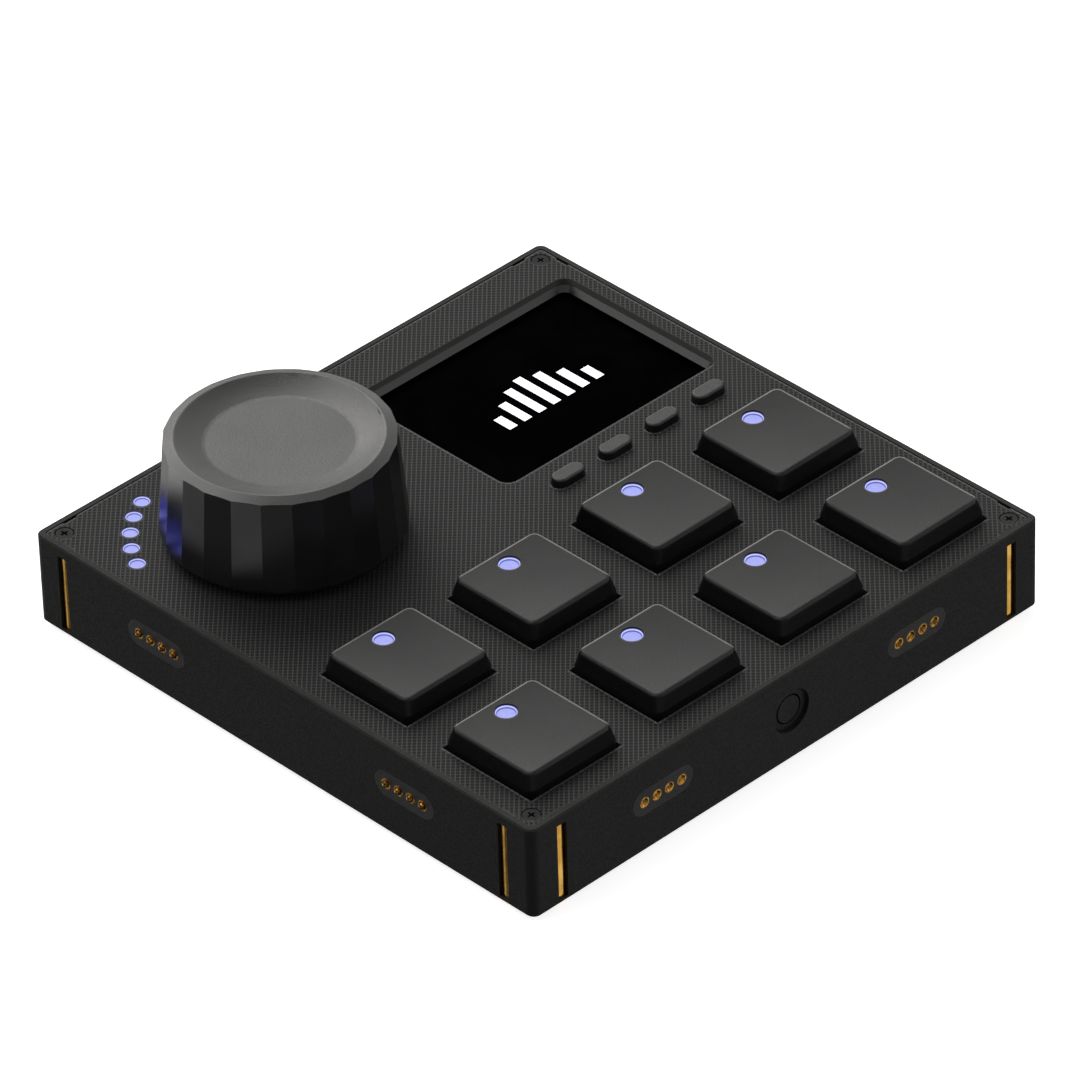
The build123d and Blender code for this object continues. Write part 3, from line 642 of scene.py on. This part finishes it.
@dataclass(frozen=True)
class HatchedPlastic(MouldedPlastic):
    """Moulded plastic with fine crossed ridges, glossier than the ground between and coloured
    lighter as painted light.

    nick is how far from the middle of the plate the nicks in its edge start, and screw how far
    along each axis its screws lie.
    """

    hatch: float = 0.000715
    ridge: float = 0.5
    cross: float = 0.7
    hatch_depth: float = 0.00003
    # Painted light: how much lighter the ridges are coloured than the ground.
    ridge_painted_light: float = 3.0
    ground_coat: float = 0.17
    ridge_coat: float = 0.71
    coat_roughness: float = 0.58
    hatch_level: Span = (0.9, 0.97)
    grain_share: float = 0.12
    nick: float = 0.05172
    nick_soft: float = 0.00004
    nick_level: Span = (0.8, 0.95)
    # Painted light on the slopes of the nicks.
    nick_painted_light: float = 12.0
    screw: float = 0.05004
    screw_gap: float = 0.00138
    screw_soft: float = 0.0001
    screw_shade: float = 0.1

    def wire(self, graph: Graph, shader: Any) -> None:
        """Feeds the shader.

        Args:
            graph: The material's graph.
            shader: The shader's inputs.
        """
        grain = graph.effect(Effect.GRAIN, Pitch=self.grain)
        edge = graph.effect(Effect.EDGE, Radius=self.edge)
        hatch = graph.effect(Effect.HATCH, Pitch=self.hatch, Ridge=self.ridge, Cross=self.cross)
        ridges = graph.math("MULTIPLY", hatch["Height"], graph.level(*self.hatch_level))
        ground = self.tone(graph, grain["Drift"], edge)
        # Painted light: the ridges are coloured lighter than the ground.
        face = graph.blend(ridges, ground, self.shade(self.ridge_painted_light))
        # Painted light on the slopes of the nicks in the plate's edge.
        nick_lit = graph.blend(self.nicked(graph), face, self.shade(self.nick_painted_light))
        ring = self.ringed(graph)
        graph.feed(shader["Base Color"], graph.blend(ring, nick_lit, self.shade(self.screw_shade)))
        graph.feed(shader["Roughness"], self.gloss(graph, grain["Height"], edge["Mask"]))
        coat = graph.remap(ridges, 0.0, 1.0, self.ground_coat, self.ridge_coat)
        graph.feed(shader["Coat Weight"], graph.math("SUBTRACT", coat, ring, clamp=True))
        fine = graph.math("MULTIPLY", grain["Height"], self.grain_share)
        relief = graph.math("ADD", ridges, fine)
        graph.feed(shader["Normal"], graph.bump(relief, self.hatch_depth))
        shader["Specular IOR Level"].default_value = self.specular
        shader["Coat Roughness"].default_value = self.coat_roughness

    def nicked(self, graph: Graph) -> Socket:
        """Finds the slopes of the nicks in the plate's edge, which get painted light.

        Args:
            graph: The material's graph.

        Returns:
            The mask of the slopes.
        """
        right, away, _ = graph.parts(graph.place())
        out = graph.math("MAXIMUM", graph.math("ABSOLUTE", right), graph.math("ABSOLUTE", away))
        outer = graph.remap(out, self.nick, self.nick + self.nick_soft)
        sloped = graph.math("SUBTRACT", 1.0, graph.level(*self.nick_level))
        return graph.math("MULTIPLY", outer, sloped)

    def ringed(self, graph: Graph) -> Socket:
        """Finds the shadowed ring round the head of each plate screw.

        Args:
            graph: The material's graph.

        Returns:
            The mask of the rings.
        """
        right, away, _ = graph.parts(graph.place())
        across = graph.math("SUBTRACT", graph.math("ABSOLUTE", right), self.screw)
        along = graph.math("SUBTRACT", graph.math("ABSOLUTE", away), self.screw)
        distance = graph.math("SQRT", graph.math("ADD", graph.square(across), graph.square(along)))
        return graph.window(distance, self.screw_gap + self.screw_soft, self.screw_soft)


@dataclass(frozen=True)
class RecessedPlastic(MouldedPlastic):
    """Moulded plastic with painted shade in its recesses, darkening from sunk_start to sunk below
    its top.
    """

    top: float = 0.0
    sunk: float = 0.0003
    sunk_start: float = 0.0001
    # Painted shade of the recesses, as a factor of the colour.
    painted_recess_shade: float = 0.04

    def tone(self, graph: Graph, drift: Socket, edge: dict[str, Socket]) -> Socket:
        """Mixes the base colour.

        Args:
            graph: The material's graph.
            drift: The slow drift of tone.
            edge: The masks of the worn edges and of the edges that turn to the back and the right,
                both with a painted highlight.

        Returns:
            The colour.
        """
        face = super().tone(graph, drift, edge)
        _, _, height = graph.parts(graph.place())
        proud = graph.remap(height, self.top - self.sunk, self.top - self.sunk_start)
        # Painted shade in the recesses.
        return graph.blend(proud, self.shade(self.painted_recess_shade), face)


@dataclass(frozen=True)
class FacetedPlastic(MouldedPlastic):
    """Plastic with a satin top and polished flats round its side."""

    flat_colour: Colour = (0.004, 0.004, 0.004)
    flat_roughness: float = 0.29
    flat_spread: float = 0.03
    smudge: float = 0.009
    top_level: Span = (0.35, 0.5)

    def wire(self, graph: Graph, shader: Any) -> None:
        """Feeds the shader.

        Args:
            graph: The material's graph.
            shader: The shader's inputs.
        """
        grain = graph.effect(Effect.GRAIN, Pitch=self.grain)
        edge = graph.effect(Effect.EDGE, Radius=self.edge)
        smudge = graph.effect(Effect.SMUDGE, Size=self.smudge)["Mask"]
        top = graph.level(*self.top_level)
        toned = self.tone(graph, grain["Drift"], edge)
        graph.feed(shader["Base Color"], graph.blend(top, opaque(self.flat_colour), toned))
        rougher = self.flat_roughness + self.flat_spread
        flat = graph.remap(smudge, 0.0, 1.0, self.flat_roughness, rougher)
        satin = self.gloss(graph, grain["Height"], edge["Mask"])
        rough = graph.add("ShaderNodeMix", data_type="FLOAT")
        graph.feed(rough.inputs[0], top)
        graph.feed(rough.inputs[2], flat)
        graph.feed(rough.inputs[3], satin)
        graph.feed(shader["Roughness"], rough.outputs[0])
        grained = graph.math("MULTIPLY", grain["Height"], top)
        graph.feed(shader["Normal"], graph.bump(grained, self.depth))
        shader["Specular IOR Level"].default_value = self.specular


@dataclass(frozen=True)
class LitPlastic(Finish):
    """Clear plastic lit from below, in a shallow dish: a bright floor, painted shade at the foot,
    painted light on the wall and painted shade at the lip.

    Each end says where a colour stops or the next one starts, as a share of the dish's depth.
    """

    top: float = 0.0
    dish: float = 0.0005
    floor: Colour = (0.41, 0.44, 0.95)
    # Painted shade at the foot of the dish's wall.
    foot: Colour = (0.11, 0.13, 0.55)
    # Painted light on the dish's wall.
    wall: Colour = (0.62, 0.65, 1.0)
    # Painted shade at the lip.
    lip: Colour = (0.03, 0.033, 0.16)
    floor_end: float = 0.02
    foot_ends: Span = (0.06, 0.38)
    wall_ends: Span = (0.52, 0.80)
    lip_end: float = 0.92
    body: Colour = (0.004, 0.004, 0.01)
    body_pale: Colour = (0.008, 0.008, 0.02)
    cloud_scale: float = 1500.0
    dimming: float = 0.12
    gloss: Span = (0.2, 0.35)
    strength: float = 1.0
    specular: float = 0.2

    def wire(self, graph: Graph, shader: Any) -> None:
        """Feeds the shader.

        Args:
            graph: The material's graph.
            shader: The shader's inputs.
        """
        _, _, height = graph.parts(graph.place())
        above = graph.math("SUBTRACT", height, self.top - self.dish)
        # The glow is ramped by height, which paints shade at the foot and the lip and light on the
        # wall.
        ramp = graph.add("ShaderNodeValToRGB")
        stops = ramp.color_ramp.elements
        stops[0].position, stops[0].color = self.floor_end, opaque(self.floor)
        stops[1].position, stops[1].color = self.lip_end, opaque(self.lip)
        for positions, colour in ((self.foot_ends, self.foot), (self.wall_ends, self.wall)):
            for position in positions:
                stops.new(position).color = opaque(colour)
        graph.feed(ramp.inputs[0], graph.math("DIVIDE", above, self.dish))
        cloud = graph.noise(graph.scaled(graph.place(), self.cloud_scale), 1.0, detail=2.0)
        dim = graph.remap(cloud, *NOISE_SPAN, 0.0, self.dimming)
        body = graph.blend(cloud, opaque(self.body), opaque(self.body_pale))
        graph.feed(shader["Base Color"], body)
        graph.feed(shader["Emission Color"], graph.blend(dim, ramp.outputs[0], opaque(self.lip)))
        graph.feed(shader["Roughness"], graph.remap(cloud, *NOISE_SPAN, *self.gloss))
        shader["Emission Strength"].default_value = self.strength
        shader["Specular IOR Level"].default_value = self.specular


@dataclass(frozen=True)
class PlatedMetal(Finish):
    """Drawn or turned metal with fine lines and clouded plating."""

    colour: Colour = (0.6, 0.6, 0.6)
    tarnish: Colour = (0.4, 0.4, 0.4)
    roughness: float = 0.28
    spread: float = 0.08
    pitch: float = 0.00015
    depth: float = 0.000004

    def wire(self, graph: Graph, shader: Any) -> None:
        """Feeds the shader.

        Args:
            graph: The material's graph.
            shader: The shader's inputs.
        """
        streak = graph.effect(Effect.STREAK, Pitch=self.pitch)
        plating = graph.blend(streak["Cloud"], opaque(self.colour), opaque(self.tarnish))
        graph.feed(shader["Base Color"], plating)
        low, high = self.roughness - self.spread, self.roughness + self.spread
        graph.feed(shader["Roughness"], graph.remap(streak["Mask"], 0.0, 1.0, low, high))
        graph.feed(shader["Normal"], graph.bump(streak["Mask"], self.depth))
        shader["Metallic"].default_value = 1.0


@dataclass(frozen=True)
class ScreenFace(Finish):
    """Black screen face with a trace of handling in its gloss."""

    colour: Colour = (0.0002, 0.0002, 0.0002)
    haze: Colour = (0.0006, 0.0006, 0.0007)
    roughness: float = 0.12
    spread: float = 0.1
    specular: float = 0.003
    smudge: float = 0.012

    def wire(self, graph: Graph, shader: Any) -> None:
        """Feeds the shader.

        Args:
            graph: The material's graph.
            shader: The shader's inputs.
        """
        smudge = graph.effect(Effect.SMUDGE, Size=self.smudge)["Mask"]
        hazed = graph.blend(smudge, opaque(self.colour), opaque(self.haze))
        graph.feed(shader["Base Color"], hazed)
        rough = graph.remap(smudge, 0.0, 1.0, self.roughness, self.roughness + self.spread)
        graph.feed(shader["Roughness"], rough)
        shader["Specular IOR Level"].default_value = self.specular


@dataclass(frozen=True)
class ScreenPixels(Finish):
    """Lit pixels of the screen, with the fine rows of the panel."""

    colour: Colour = (0.9, 0.92, 1.0)
    between: Colour = (0.7, 0.72, 0.8)
    row: float = 0.00012
    row_edge: Span = (0.1, 0.5)
    gloss: Span = (0.3, 0.4)
    strength: float = 1.0
    specular: float = 0.1

    def wire(self, graph: Graph, shader: Any) -> None:
        """Feeds the shader.

        Args:
            graph: The material's graph.
            shader: The shader's inputs.
        """
        _, along, _ = graph.parts(graph.scaled(graph.place(), 1.0 / self.row))
        rows = graph.wave(along)
        lit = graph.remap(rows, *self.row_edge)
        shown = graph.blend(lit, opaque(self.between), opaque(self.colour))
        graph.feed(shader["Base Color"], shown)
        graph.feed(shader["Emission Color"], shown)
        graph.feed(shader["Roughness"], graph.remap(rows, 0.0, 1.0, *self.gloss))
        shader["Emission Strength"].default_value = self.strength
        shader["Specular IOR Level"].default_value = self.specular


@dataclass(frozen=True)
class StudioPaper(Finish):
    """Pale paper of the studio floor, lit through from below."""

    colour: Colour = (0.86, 0.86, 0.86)
    darker: Colour = (0.8471, 0.8471, 0.8471)
    cloud_scale: float = 6.0
    gloss: Span = (0.85, 0.95)
    glow: float = 0.95

    def wire(self, graph: Graph, shader: Any) -> None:
        """Feeds the shader.

        Args:
            graph: The material's graph.
            shader: The shader's inputs.
        """
        cloud = graph.noise(graph.place(), self.cloud_scale, detail=4.0)
        paper = graph.blend(cloud, opaque(self.darker), opaque(self.colour))
        graph.feed(shader["Base Color"], paper)
        graph.feed(shader["Emission Color"], paper)
        graph.feed(shader["Roughness"], graph.remap(cloud, *NOISE_SPAN, *self.gloss))
        shader["Emission Strength"].default_value = self.glow
        shader["Specular IOR Level"].default_value = 0.0


# Several finishes below paint shade or light on their sides and a highlight on the edges that turn
# to the back and the right, and lighten their worn edges partly as a painted highlight.
CASE_BLACK = MouldedPlastic(
    "case_black", colour=(0.022, 0.0217, 0.021), roughness=0.6, specular=0.20, lift=1.5, painted_flank_shade=0.17
)
INSERT_BLACK = MouldedPlastic(
    "insert_black", colour=(0.015, 0.0148, 0.0145), roughness=0.55, specular=0.2
)
PLATE_HATCH = HatchedPlastic(
    "plate_hatch",
    colour=(0.010, 0.0099, 0.0097),
    roughness=0.6,
    specular=0.06,
    edge=0.0006,
    lift=3.5,
    painted_flank_shade=12.0,
    far_edge_highlight=25.0,
)
CAP_SATIN = CrownedPlastic(
    "cap_satin",
    colour=(0.018, 0.0178, 0.0174),
    roughness=0.42,
    specular=0.275,
    lift=1.05,
    painted_flank_shade=0.08,
    far_edge_highlight=15.0,
)
BUTTON_SATIN = MouldedPlastic(
    "button_satin",
    colour=(0.018, 0.0178, 0.0174),
    roughness=0.48,
    specular=0.6,
    lift=1.3,
    painted_flank_shade=0.12,
    far_edge_highlight=3.0,
)
KNOB_SATIN = FacetedPlastic(
    "knob_satin", colour=(0.066, 0.0657, 0.0645), roughness=0.36, specular=0.62, lift=1.15
)
BEZEL_SATIN = MouldedPlastic(
    "bezel_satin",
    colour=(0.008, 0.0079, 0.0077),
    roughness=0.3,
    spread=0.01,
    depth=0.000001,
    specular=0.45,
    lift=1.2,
)
SWITCH_BLACK = MouldedPlastic(
    "switch_black", colour=(0.010, 0.010, 0.010), roughness=0.5, specular=0.2
)
STEM_RED = MouldedPlastic("stem_red", colour=(0.30, 0.03, 0.025), roughness=0.45)
BOARD_MASK = MouldedPlastic("board_mask", colour=(0.012, 0.04, 0.022), roughness=0.35, grain=0.0006)
FOAM_GREY = MouldedPlastic(
    "foam_grey", colour=(0.03, 0.03, 0.03), roughness=0.9, grain=0.0005, depth=0.0001
)
FOOT_RUBBER = MouldedPlastic(
    "foot_rubber", colour=(0.014, 0.014, 0.014), roughness=0.8, specular=0.2, grain=0.0004
)
PANEL_BLACK = ScreenFace("panel_black", roughness=0.3)
GLASS_BLACK = ScreenFace("glass_black")
GILT = PlatedMetal("gilt", colour=(0.90, 0.54, 0.125), tarnish=(0.66, 0.35, 0.06), roughness=0.26)
GILT_WORN = PlatedMetal(
    "gilt_worn",
    colour=(0.52, 0.27, 0.05),
    tarnish=(0.14, 0.065, 0.011),
    roughness=0.2,
    pitch=0.00003,
    depth=0.000002,
)
STEEL = PlatedMetal("steel", colour=(0.62, 0.61, 0.59), tarnish=(0.50, 0.49, 0.48), roughness=0.32)
LED_WHITE = ScreenPixels("led_white", colour=(0.42, 0.47, 1.0), between=(0.36, 0.42, 1.0))
PIXELS_LIT = ScreenPixels("pixels_lit")


@dataclass
class SubAssembly:
    """A group of CAD nodes and new pieces that belong together."""

    nodes: dict[str, bpy.types.Object] = field(repr=False)
    finishes: dict[str, Finish] = field(default_factory=dict)

    def build(self) -> None:
        """Makes the new pieces. A plain sub-assembly has none."""

    def dress(self) -> None:
        """Gives each CAD node its finish and reports it."""
        for name, finish in self.finishes.items():
            data = self.nodes[name].data
            data.materials.clear()
            data.materials.append(finish.material())
            LOG.info("dressed %s in %s", name, finish.name)

    def keep(
        self, mesh: bmesh.types.BMesh, name: str, body: str, finish: Finish, slot: str
    ) -> None:
        """Turns a bmesh into a piece that rides on a body.

        Args:
            mesh: The finished bmesh, which is freed.
            name: The piece's name.
            body: The CAD body that it rides on.
            finish: Its finish.
            slot: Not used.
        """
        data = bpy.data.meshes.new(name)
        mesh.to_mesh(data)
        mesh.free()
        data.materials.append(finish.material())
        piece = bpy.data.objects.new(name, data)
        bpy.context.scene.collection.objects.link(piece)
        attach(piece, body)
        LOG.info("built %s with %d faces on %s", name, len(data.polygons), body)


@dataclass
class Case(SubAssembly):
    """Tray, top plate, feet, plate screws and the magnet rods behind the slots."""

    def __post_init__(self) -> None:
        """Names the finish of each node."""
        _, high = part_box("plate_screws")
        # The plate screws get painted shade in the recesses of their heads.
        screw = RecessedPlastic(
            "screw_black",
            colour=(0.024, 0.024, 0.0235),
            roughness=0.5,
            specular=0.12,
            grain=0.00012,
            top=high.z,
        )
        self.finishes = {
            "case_tray": CASE_BLACK,
            "top_plate": PLATE_HATCH,
            "plate_screws": screw,
            "rubber_feet": FOOT_RUBBER,
            "magnet_rods": GILT,
        }


@dataclass
class Keys(SubAssembly):
    """Caps, stems and lit windows of the keys."""

    count: int = 8
    dish: float = 0.00046

    def __post_init__(self) -> None:
        """Names the finish of each node."""
        _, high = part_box("key_window_1")
        lit = LitPlastic("key_light", top=high.z, dish=self.dish)
        for number in range(1, self.count + 1):
            self.finishes[f"keycap_{number}"] = CAP_SATIN
            self.finishes[f"key_stem_{number}"] = STEM_RED
            self.finishes[f"key_window_{number}"] = lit


@dataclass
class Dial(SubAssembly):
    """Knob, encoder and the lights beside the knob."""

    dish: float = 0.00035
    light_count: int = 5
    light_step: float = 10.0
    light_middle: float = 135.0
    light_circle: float = 0.0232
    glow_rise: float = 0.0008
    glow_radius: float = 0.0018
    glow_power: float = 0.00010
    glow_tint: Colour = (0.06, 0.07, 1.0)

    def __post_init__(self) -> None:
        """Names the finish of each node."""
        _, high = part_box("light_pipes")
        self.finishes = {
            "knob": KNOB_SATIN,
            "encoder_body": STEEL,
            "encoder_nut": STEEL,
            "encoder_shaft": STEEL,
            "light_pipes": LitPlastic("dial_light", top=high.z, dish=self.dish),
        }

    def build(self) -> None:
        """Hangs a small lamp over each light, which only shows in the gloss of the knob."""
        low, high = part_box("knob")
        centre = (low + high) / 2
        _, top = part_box("light_pipes")
        receivers = bpy.data.collections.new("glow_receivers")
        receivers.objects.link(self.nodes["knob"])
        middle = (self.light_count - 1) / 2
        for number in range(self.light_count):
            angle = math.radians(self.light_middle + self.light_step * (number - middle))
            lamp = bpy.data.lights.new(f"glow_{number + 1}", "POINT")
            lamp.color = self.glow_tint
            lamp.energy = self.glow_power
            lamp.shadow_soft_size = self.glow_radius
            holder = bpy.data.objects.new(f"glow_{number + 1}", lamp)
            out = Vector((math.cos(angle), math.sin(angle), 0.0)) * self.light_circle
            holder.location = Vector((centre.x, centre.y, top.z + self.glow_rise)) + out
            holder.light_linking.receiver_collection = receivers
            holder.visible_camera = False
            holder.visible_diffuse = False
            bpy.context.scene.collection.objects.link(holder)
        LOG.info("hung %d lamps over the lights", self.light_count)


@dataclass
class Display(SubAssembly):
    """Screen stack with a plain row of level bars on it."""

    levels: tuple[float, ...] = (0.0036, 0.0058, 0.0078, 0.0090, 0.0078, 0.0058, 0.0036)
    bar_pitch: float = 0.0031
    bar_width: float = 0.0016
    drop: float = 0.0045
    thickness: float = 0.00004

    def __post_init__(self) -> None:
        """Names the finish of each node."""
        self.finishes = {
            "display_frame": BEZEL_SATIN,
            "display_glass": GLASS_BLACK,
            "display_panel": PANEL_BLACK,
            "display_pad": FOAM_GREY,
        }

    def build(self) -> None:
        """Makes the level bars on the glass, all standing on one line."""
        low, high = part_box("display_glass")
        centre = (low + high) / 2
        middle = (len(self.levels) - 1) / 2
        mid_height = high.z + self.thickness / 2
        bars = bmesh.new()
        for number, level in enumerate(self.levels):
            across = (number - middle) * self.bar_pitch
            up = level / 2 - self.drop
            spot = Matrix.Translation((centre.x + across, centre.y + up, mid_height))
            size = Matrix.Diagonal((self.bar_width, level, self.thickness, 1.0))
            bmesh.ops.create_cube(bars, size=1.0, matrix=spot @ size)
        self.keep(bars, "level_bars", "base", PIXELS_LIT, "light_plastic")


@dataclass
class Controls(SubAssembly):
    """Menu buttons, the round side button and the switches behind them."""

    menu_count: int = 4

    def __post_init__(self) -> None:
        """Names the finish of each node."""
        for number in range(1, self.menu_count + 1):
            self.finishes[f"menu_button_{number}"] = BUTTON_SATIN
        self.finishes["side_button"] = CASE_BLACK
        self.finishes["tact_switches"] = SWITCH_BLACK
        self.finishes["side_switch"] = SWITCH_BLACK


@dataclass
class Ports(SubAssembly):
    """Docking contacts in the walls and the socket at the back."""

    pin_sets: tuple[str, ...] = ("left_1", "left_2", "back_1", "back_2")

    def __post_init__(self) -> None:
        """Names the finish of each node."""
        self.finishes = {
            "connector_blocks": INSERT_BLACK,
            "pin_barrels": GILT_WORN,
            "contact_cups": GILT_WORN,
            "usb_socket": STEEL,
        }
        for name in self.pin_sets:
            self.finishes[f"pin_set_{name}"] = GILT_WORN


@dataclass
class Insides(SubAssembly):
    """Board, its screws, the light chips and the switch housings."""

    def __post_init__(self) -> None:
        """Names the finish of each node."""
        self.finishes = {
            "main_board": BOARD_MASK,
            "board_screws": STEEL,
            "board_leds": LED_WHITE,
            "switch_housings": SWITCH_BLACK,
        }


@dataclass(frozen=True)
class Panel:
    """A soft-edged light panel round the object, with its angles in degrees.

    azimuth runs from +X towards +Y. reach and rise are half the panel's width and height, and
    soft is half the width of its fading edge.
    """

    azimuth: float
    elevation: float
    reach: float
    rise: float
    soft: float
    strength: float
    gloss_only: bool = False

    def mask(self, graph: Graph) -> Socket:
        """Places the panel in the surroundings.

        Args:
            graph: The world's graph.

        Returns:
            The panel's light.
        """
        shape = graph.effect(
            Effect.PANEL,
            Azimuth=math.radians(self.azimuth),
            Reach=math.radians(self.reach),
            Elevation=math.radians(self.elevation),
            Rise=math.radians(self.rise),
            Soft=math.radians(self.soft),
        )
        light = graph.math("MULTIPLY", shape["Mask"], self.strength)
        if self.gloss_only:
            lighting = graph.add("ShaderNodeLightPath").outputs["Is Diffuse Ray"]
            light = graph.math("MULTIPLY", light, graph.math("SUBTRACT", 1.0, lighting))
        return light


@dataclass
class Studio:
    """Floor, light and the camera that stands where the photograph was taken."""

    azimuth: float = -43.396
    elevation: float = 35.947
    roll: float = -1.830
    distance: float = 1.39687
    aim_right: float = 0.000180
    aim_up: float = 0.010611
    rise: float = 0.0009
    lens: float = 308.762
    sensor: float = 36.0
    clip: Span = (0.05, 20.0)
    floor_size: float = 3.0
    floor_cells: int = 4
    backdrop: Colour = (1.0, 1.0, 1.0)
    light_tint: Colour = (1.0, 0.99, 0.98)
    world_light: float = 0.055
    # Each panel's azimuth, elevation, reach, rise, edge and strength. The last one lights only
    # the gloss of the sides that face away from the camera.
    panels: tuple[Panel, ...] = (
        Panel(72.0, 30.0, 18.0, 12.0, 9.0, 3.8),
        Panel(64.0, 54.0, 30.0, 11.0, 8.0, 3.6),
        Panel(46.0, 2.0, 26.0, 7.0, 5.0, 1.4),
        Panel(136.0, 60.0, 45.0, 12.0, 8.0, 2.7),
        Panel(325.0, 27.0, 32.0, 17.0, 10.0, 1.3),
        Panel(28.0, 30.0, 22.0, 16.0, 10.0, 0.5),
        Panel(280.0, 5.0, 30.0, 10.0, 6.0, 0.4),
        Panel(141.0, 21.0, 12.0, 8.0, 6.0, 3.0),
        Panel(101.0, -33.0, 45.0, 9.0, 5.0, 0.32),
        Panel(101.0, -33.0, 15.0, 9.0, 5.0, 1.6),
        Panel(133.0, -31.0, 7.0, 9.0, 5.0, 0.3),
        Panel(191.0, -31.0, 10.0, 13.0, 4.0, 0.85),
        Panel(221.0, -28.0, 12.0, 10.0, 5.0, 0.21),
        Panel(226.0, -3.0, 14.0, 7.0, 5.0, 0.8),
        Panel(300.0, -38.0, 45.0, 13.0, 8.0, 0.8),
        Panel(228.0, 36.0, 60.0, 14.0, 8.0, 0.8, gloss_only=True),
    )

    def build(self) -> None:
        """Sets up the whole studio."""
        self.lay_floor()
        self.light_world()
        self.set_camera()

    def lay_floor(self) -> None:
        """Lays the pale floor under the feet."""
        mesh = bmesh.new()
        cells = self.floor_cells
        bmesh.ops.create_grid(mesh, x_segments=cells, y_segments=cells, size=self.floor_size)
        data = bpy.data.meshes.new("floor")
        mesh.to_mesh(data)
        mesh.free()
        data.materials.append(StudioPaper("studio_paper").material())
        floor = bpy.data.objects.new("floor", data)
        floor.visible_glossy = False
        bpy.context.scene.collection.objects.link(floor)
        LOG.info("laid the floor")

    def light_world(self) -> None:
        """Hangs the panels all round, in front of a white backdrop."""
        world = bpy.data.worlds.new("studio")
        world.use_nodes = True
        graph = Graph(world.node_tree)
        seen = graph.add("ShaderNodeBackground")
        seen.inputs["Color"].default_value = opaque(self.backdrop)
        felt = graph.add("ShaderNodeBackground")
        felt.inputs["Color"].default_value = opaque(self.light_tint)
        light: Feed = self.world_light
        for panel in self.panels:
            light = graph.math("ADD", panel.mask(graph), light)
        graph.feed(felt.inputs["Strength"], light)
        mix = graph.add("ShaderNodeMixShader")
        graph.feed(mix.inputs[0], graph.add("ShaderNodeLightPath").outputs["Is Camera Ray"])
        graph.feed(mix.inputs[1], felt.outputs[0])
        graph.feed(mix.inputs[2], seen.outputs[0])
        graph.feed(graph.add("ShaderNodeOutputWorld").inputs["Surface"], mix.outputs[0])
        bpy.context.scene.world = world
        bpy.context.scene.view_settings.view_transform = "Standard"

    def set_camera(self) -> None:
        """Stands the camera at the photograph's place."""
        turn, tilt, roll = map(math.radians, (self.azimuth, self.elevation, self.roll))
        reach = math.cos(tilt)
        back = Vector((math.sin(turn) * reach, -math.cos(turn) * reach, math.sin(tilt)))
        level = Vector((math.cos(turn), math.sin(turn), 0.0))
        upright = back.cross(level)
        right = math.cos(roll) * level + math.sin(roll) * upright
        up = math.cos(roll) * upright - math.sin(roll) * level
        aim = self.aim_right * right + self.aim_up * up
        spot = aim + self.distance * back + Vector((0.0, 0.0, self.rise))
        data = bpy.data.cameras.new("camera")
        data.lens = self.lens
        data.sensor_width = self.sensor
        data.clip_start, data.clip_end = self.clip
        camera = bpy.data.objects.new("camera", data)
        turned = Matrix((right, up, back)).transposed().to_4x4()
        camera.matrix_world = Matrix.Translation(spot) @ turned
        bpy.context.scene.collection.objects.link(camera)
        bpy.context.scene.camera = camera
        LOG.info("stood the camera")


def main() -> None:
    """Loads the frame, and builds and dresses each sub-assembly."""
    logging.basicConfig(level=logging.INFO, format="%(name)s: %(message)s")
    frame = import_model()
    for kind in (Case, Keys, Dial, Display, Controls, Ports, Insides):
        assembly = kind(frame["nodes"])
        assembly.build()
        assembly.dress()
    Studio().build()


if __name__ == "__main__":
    main()
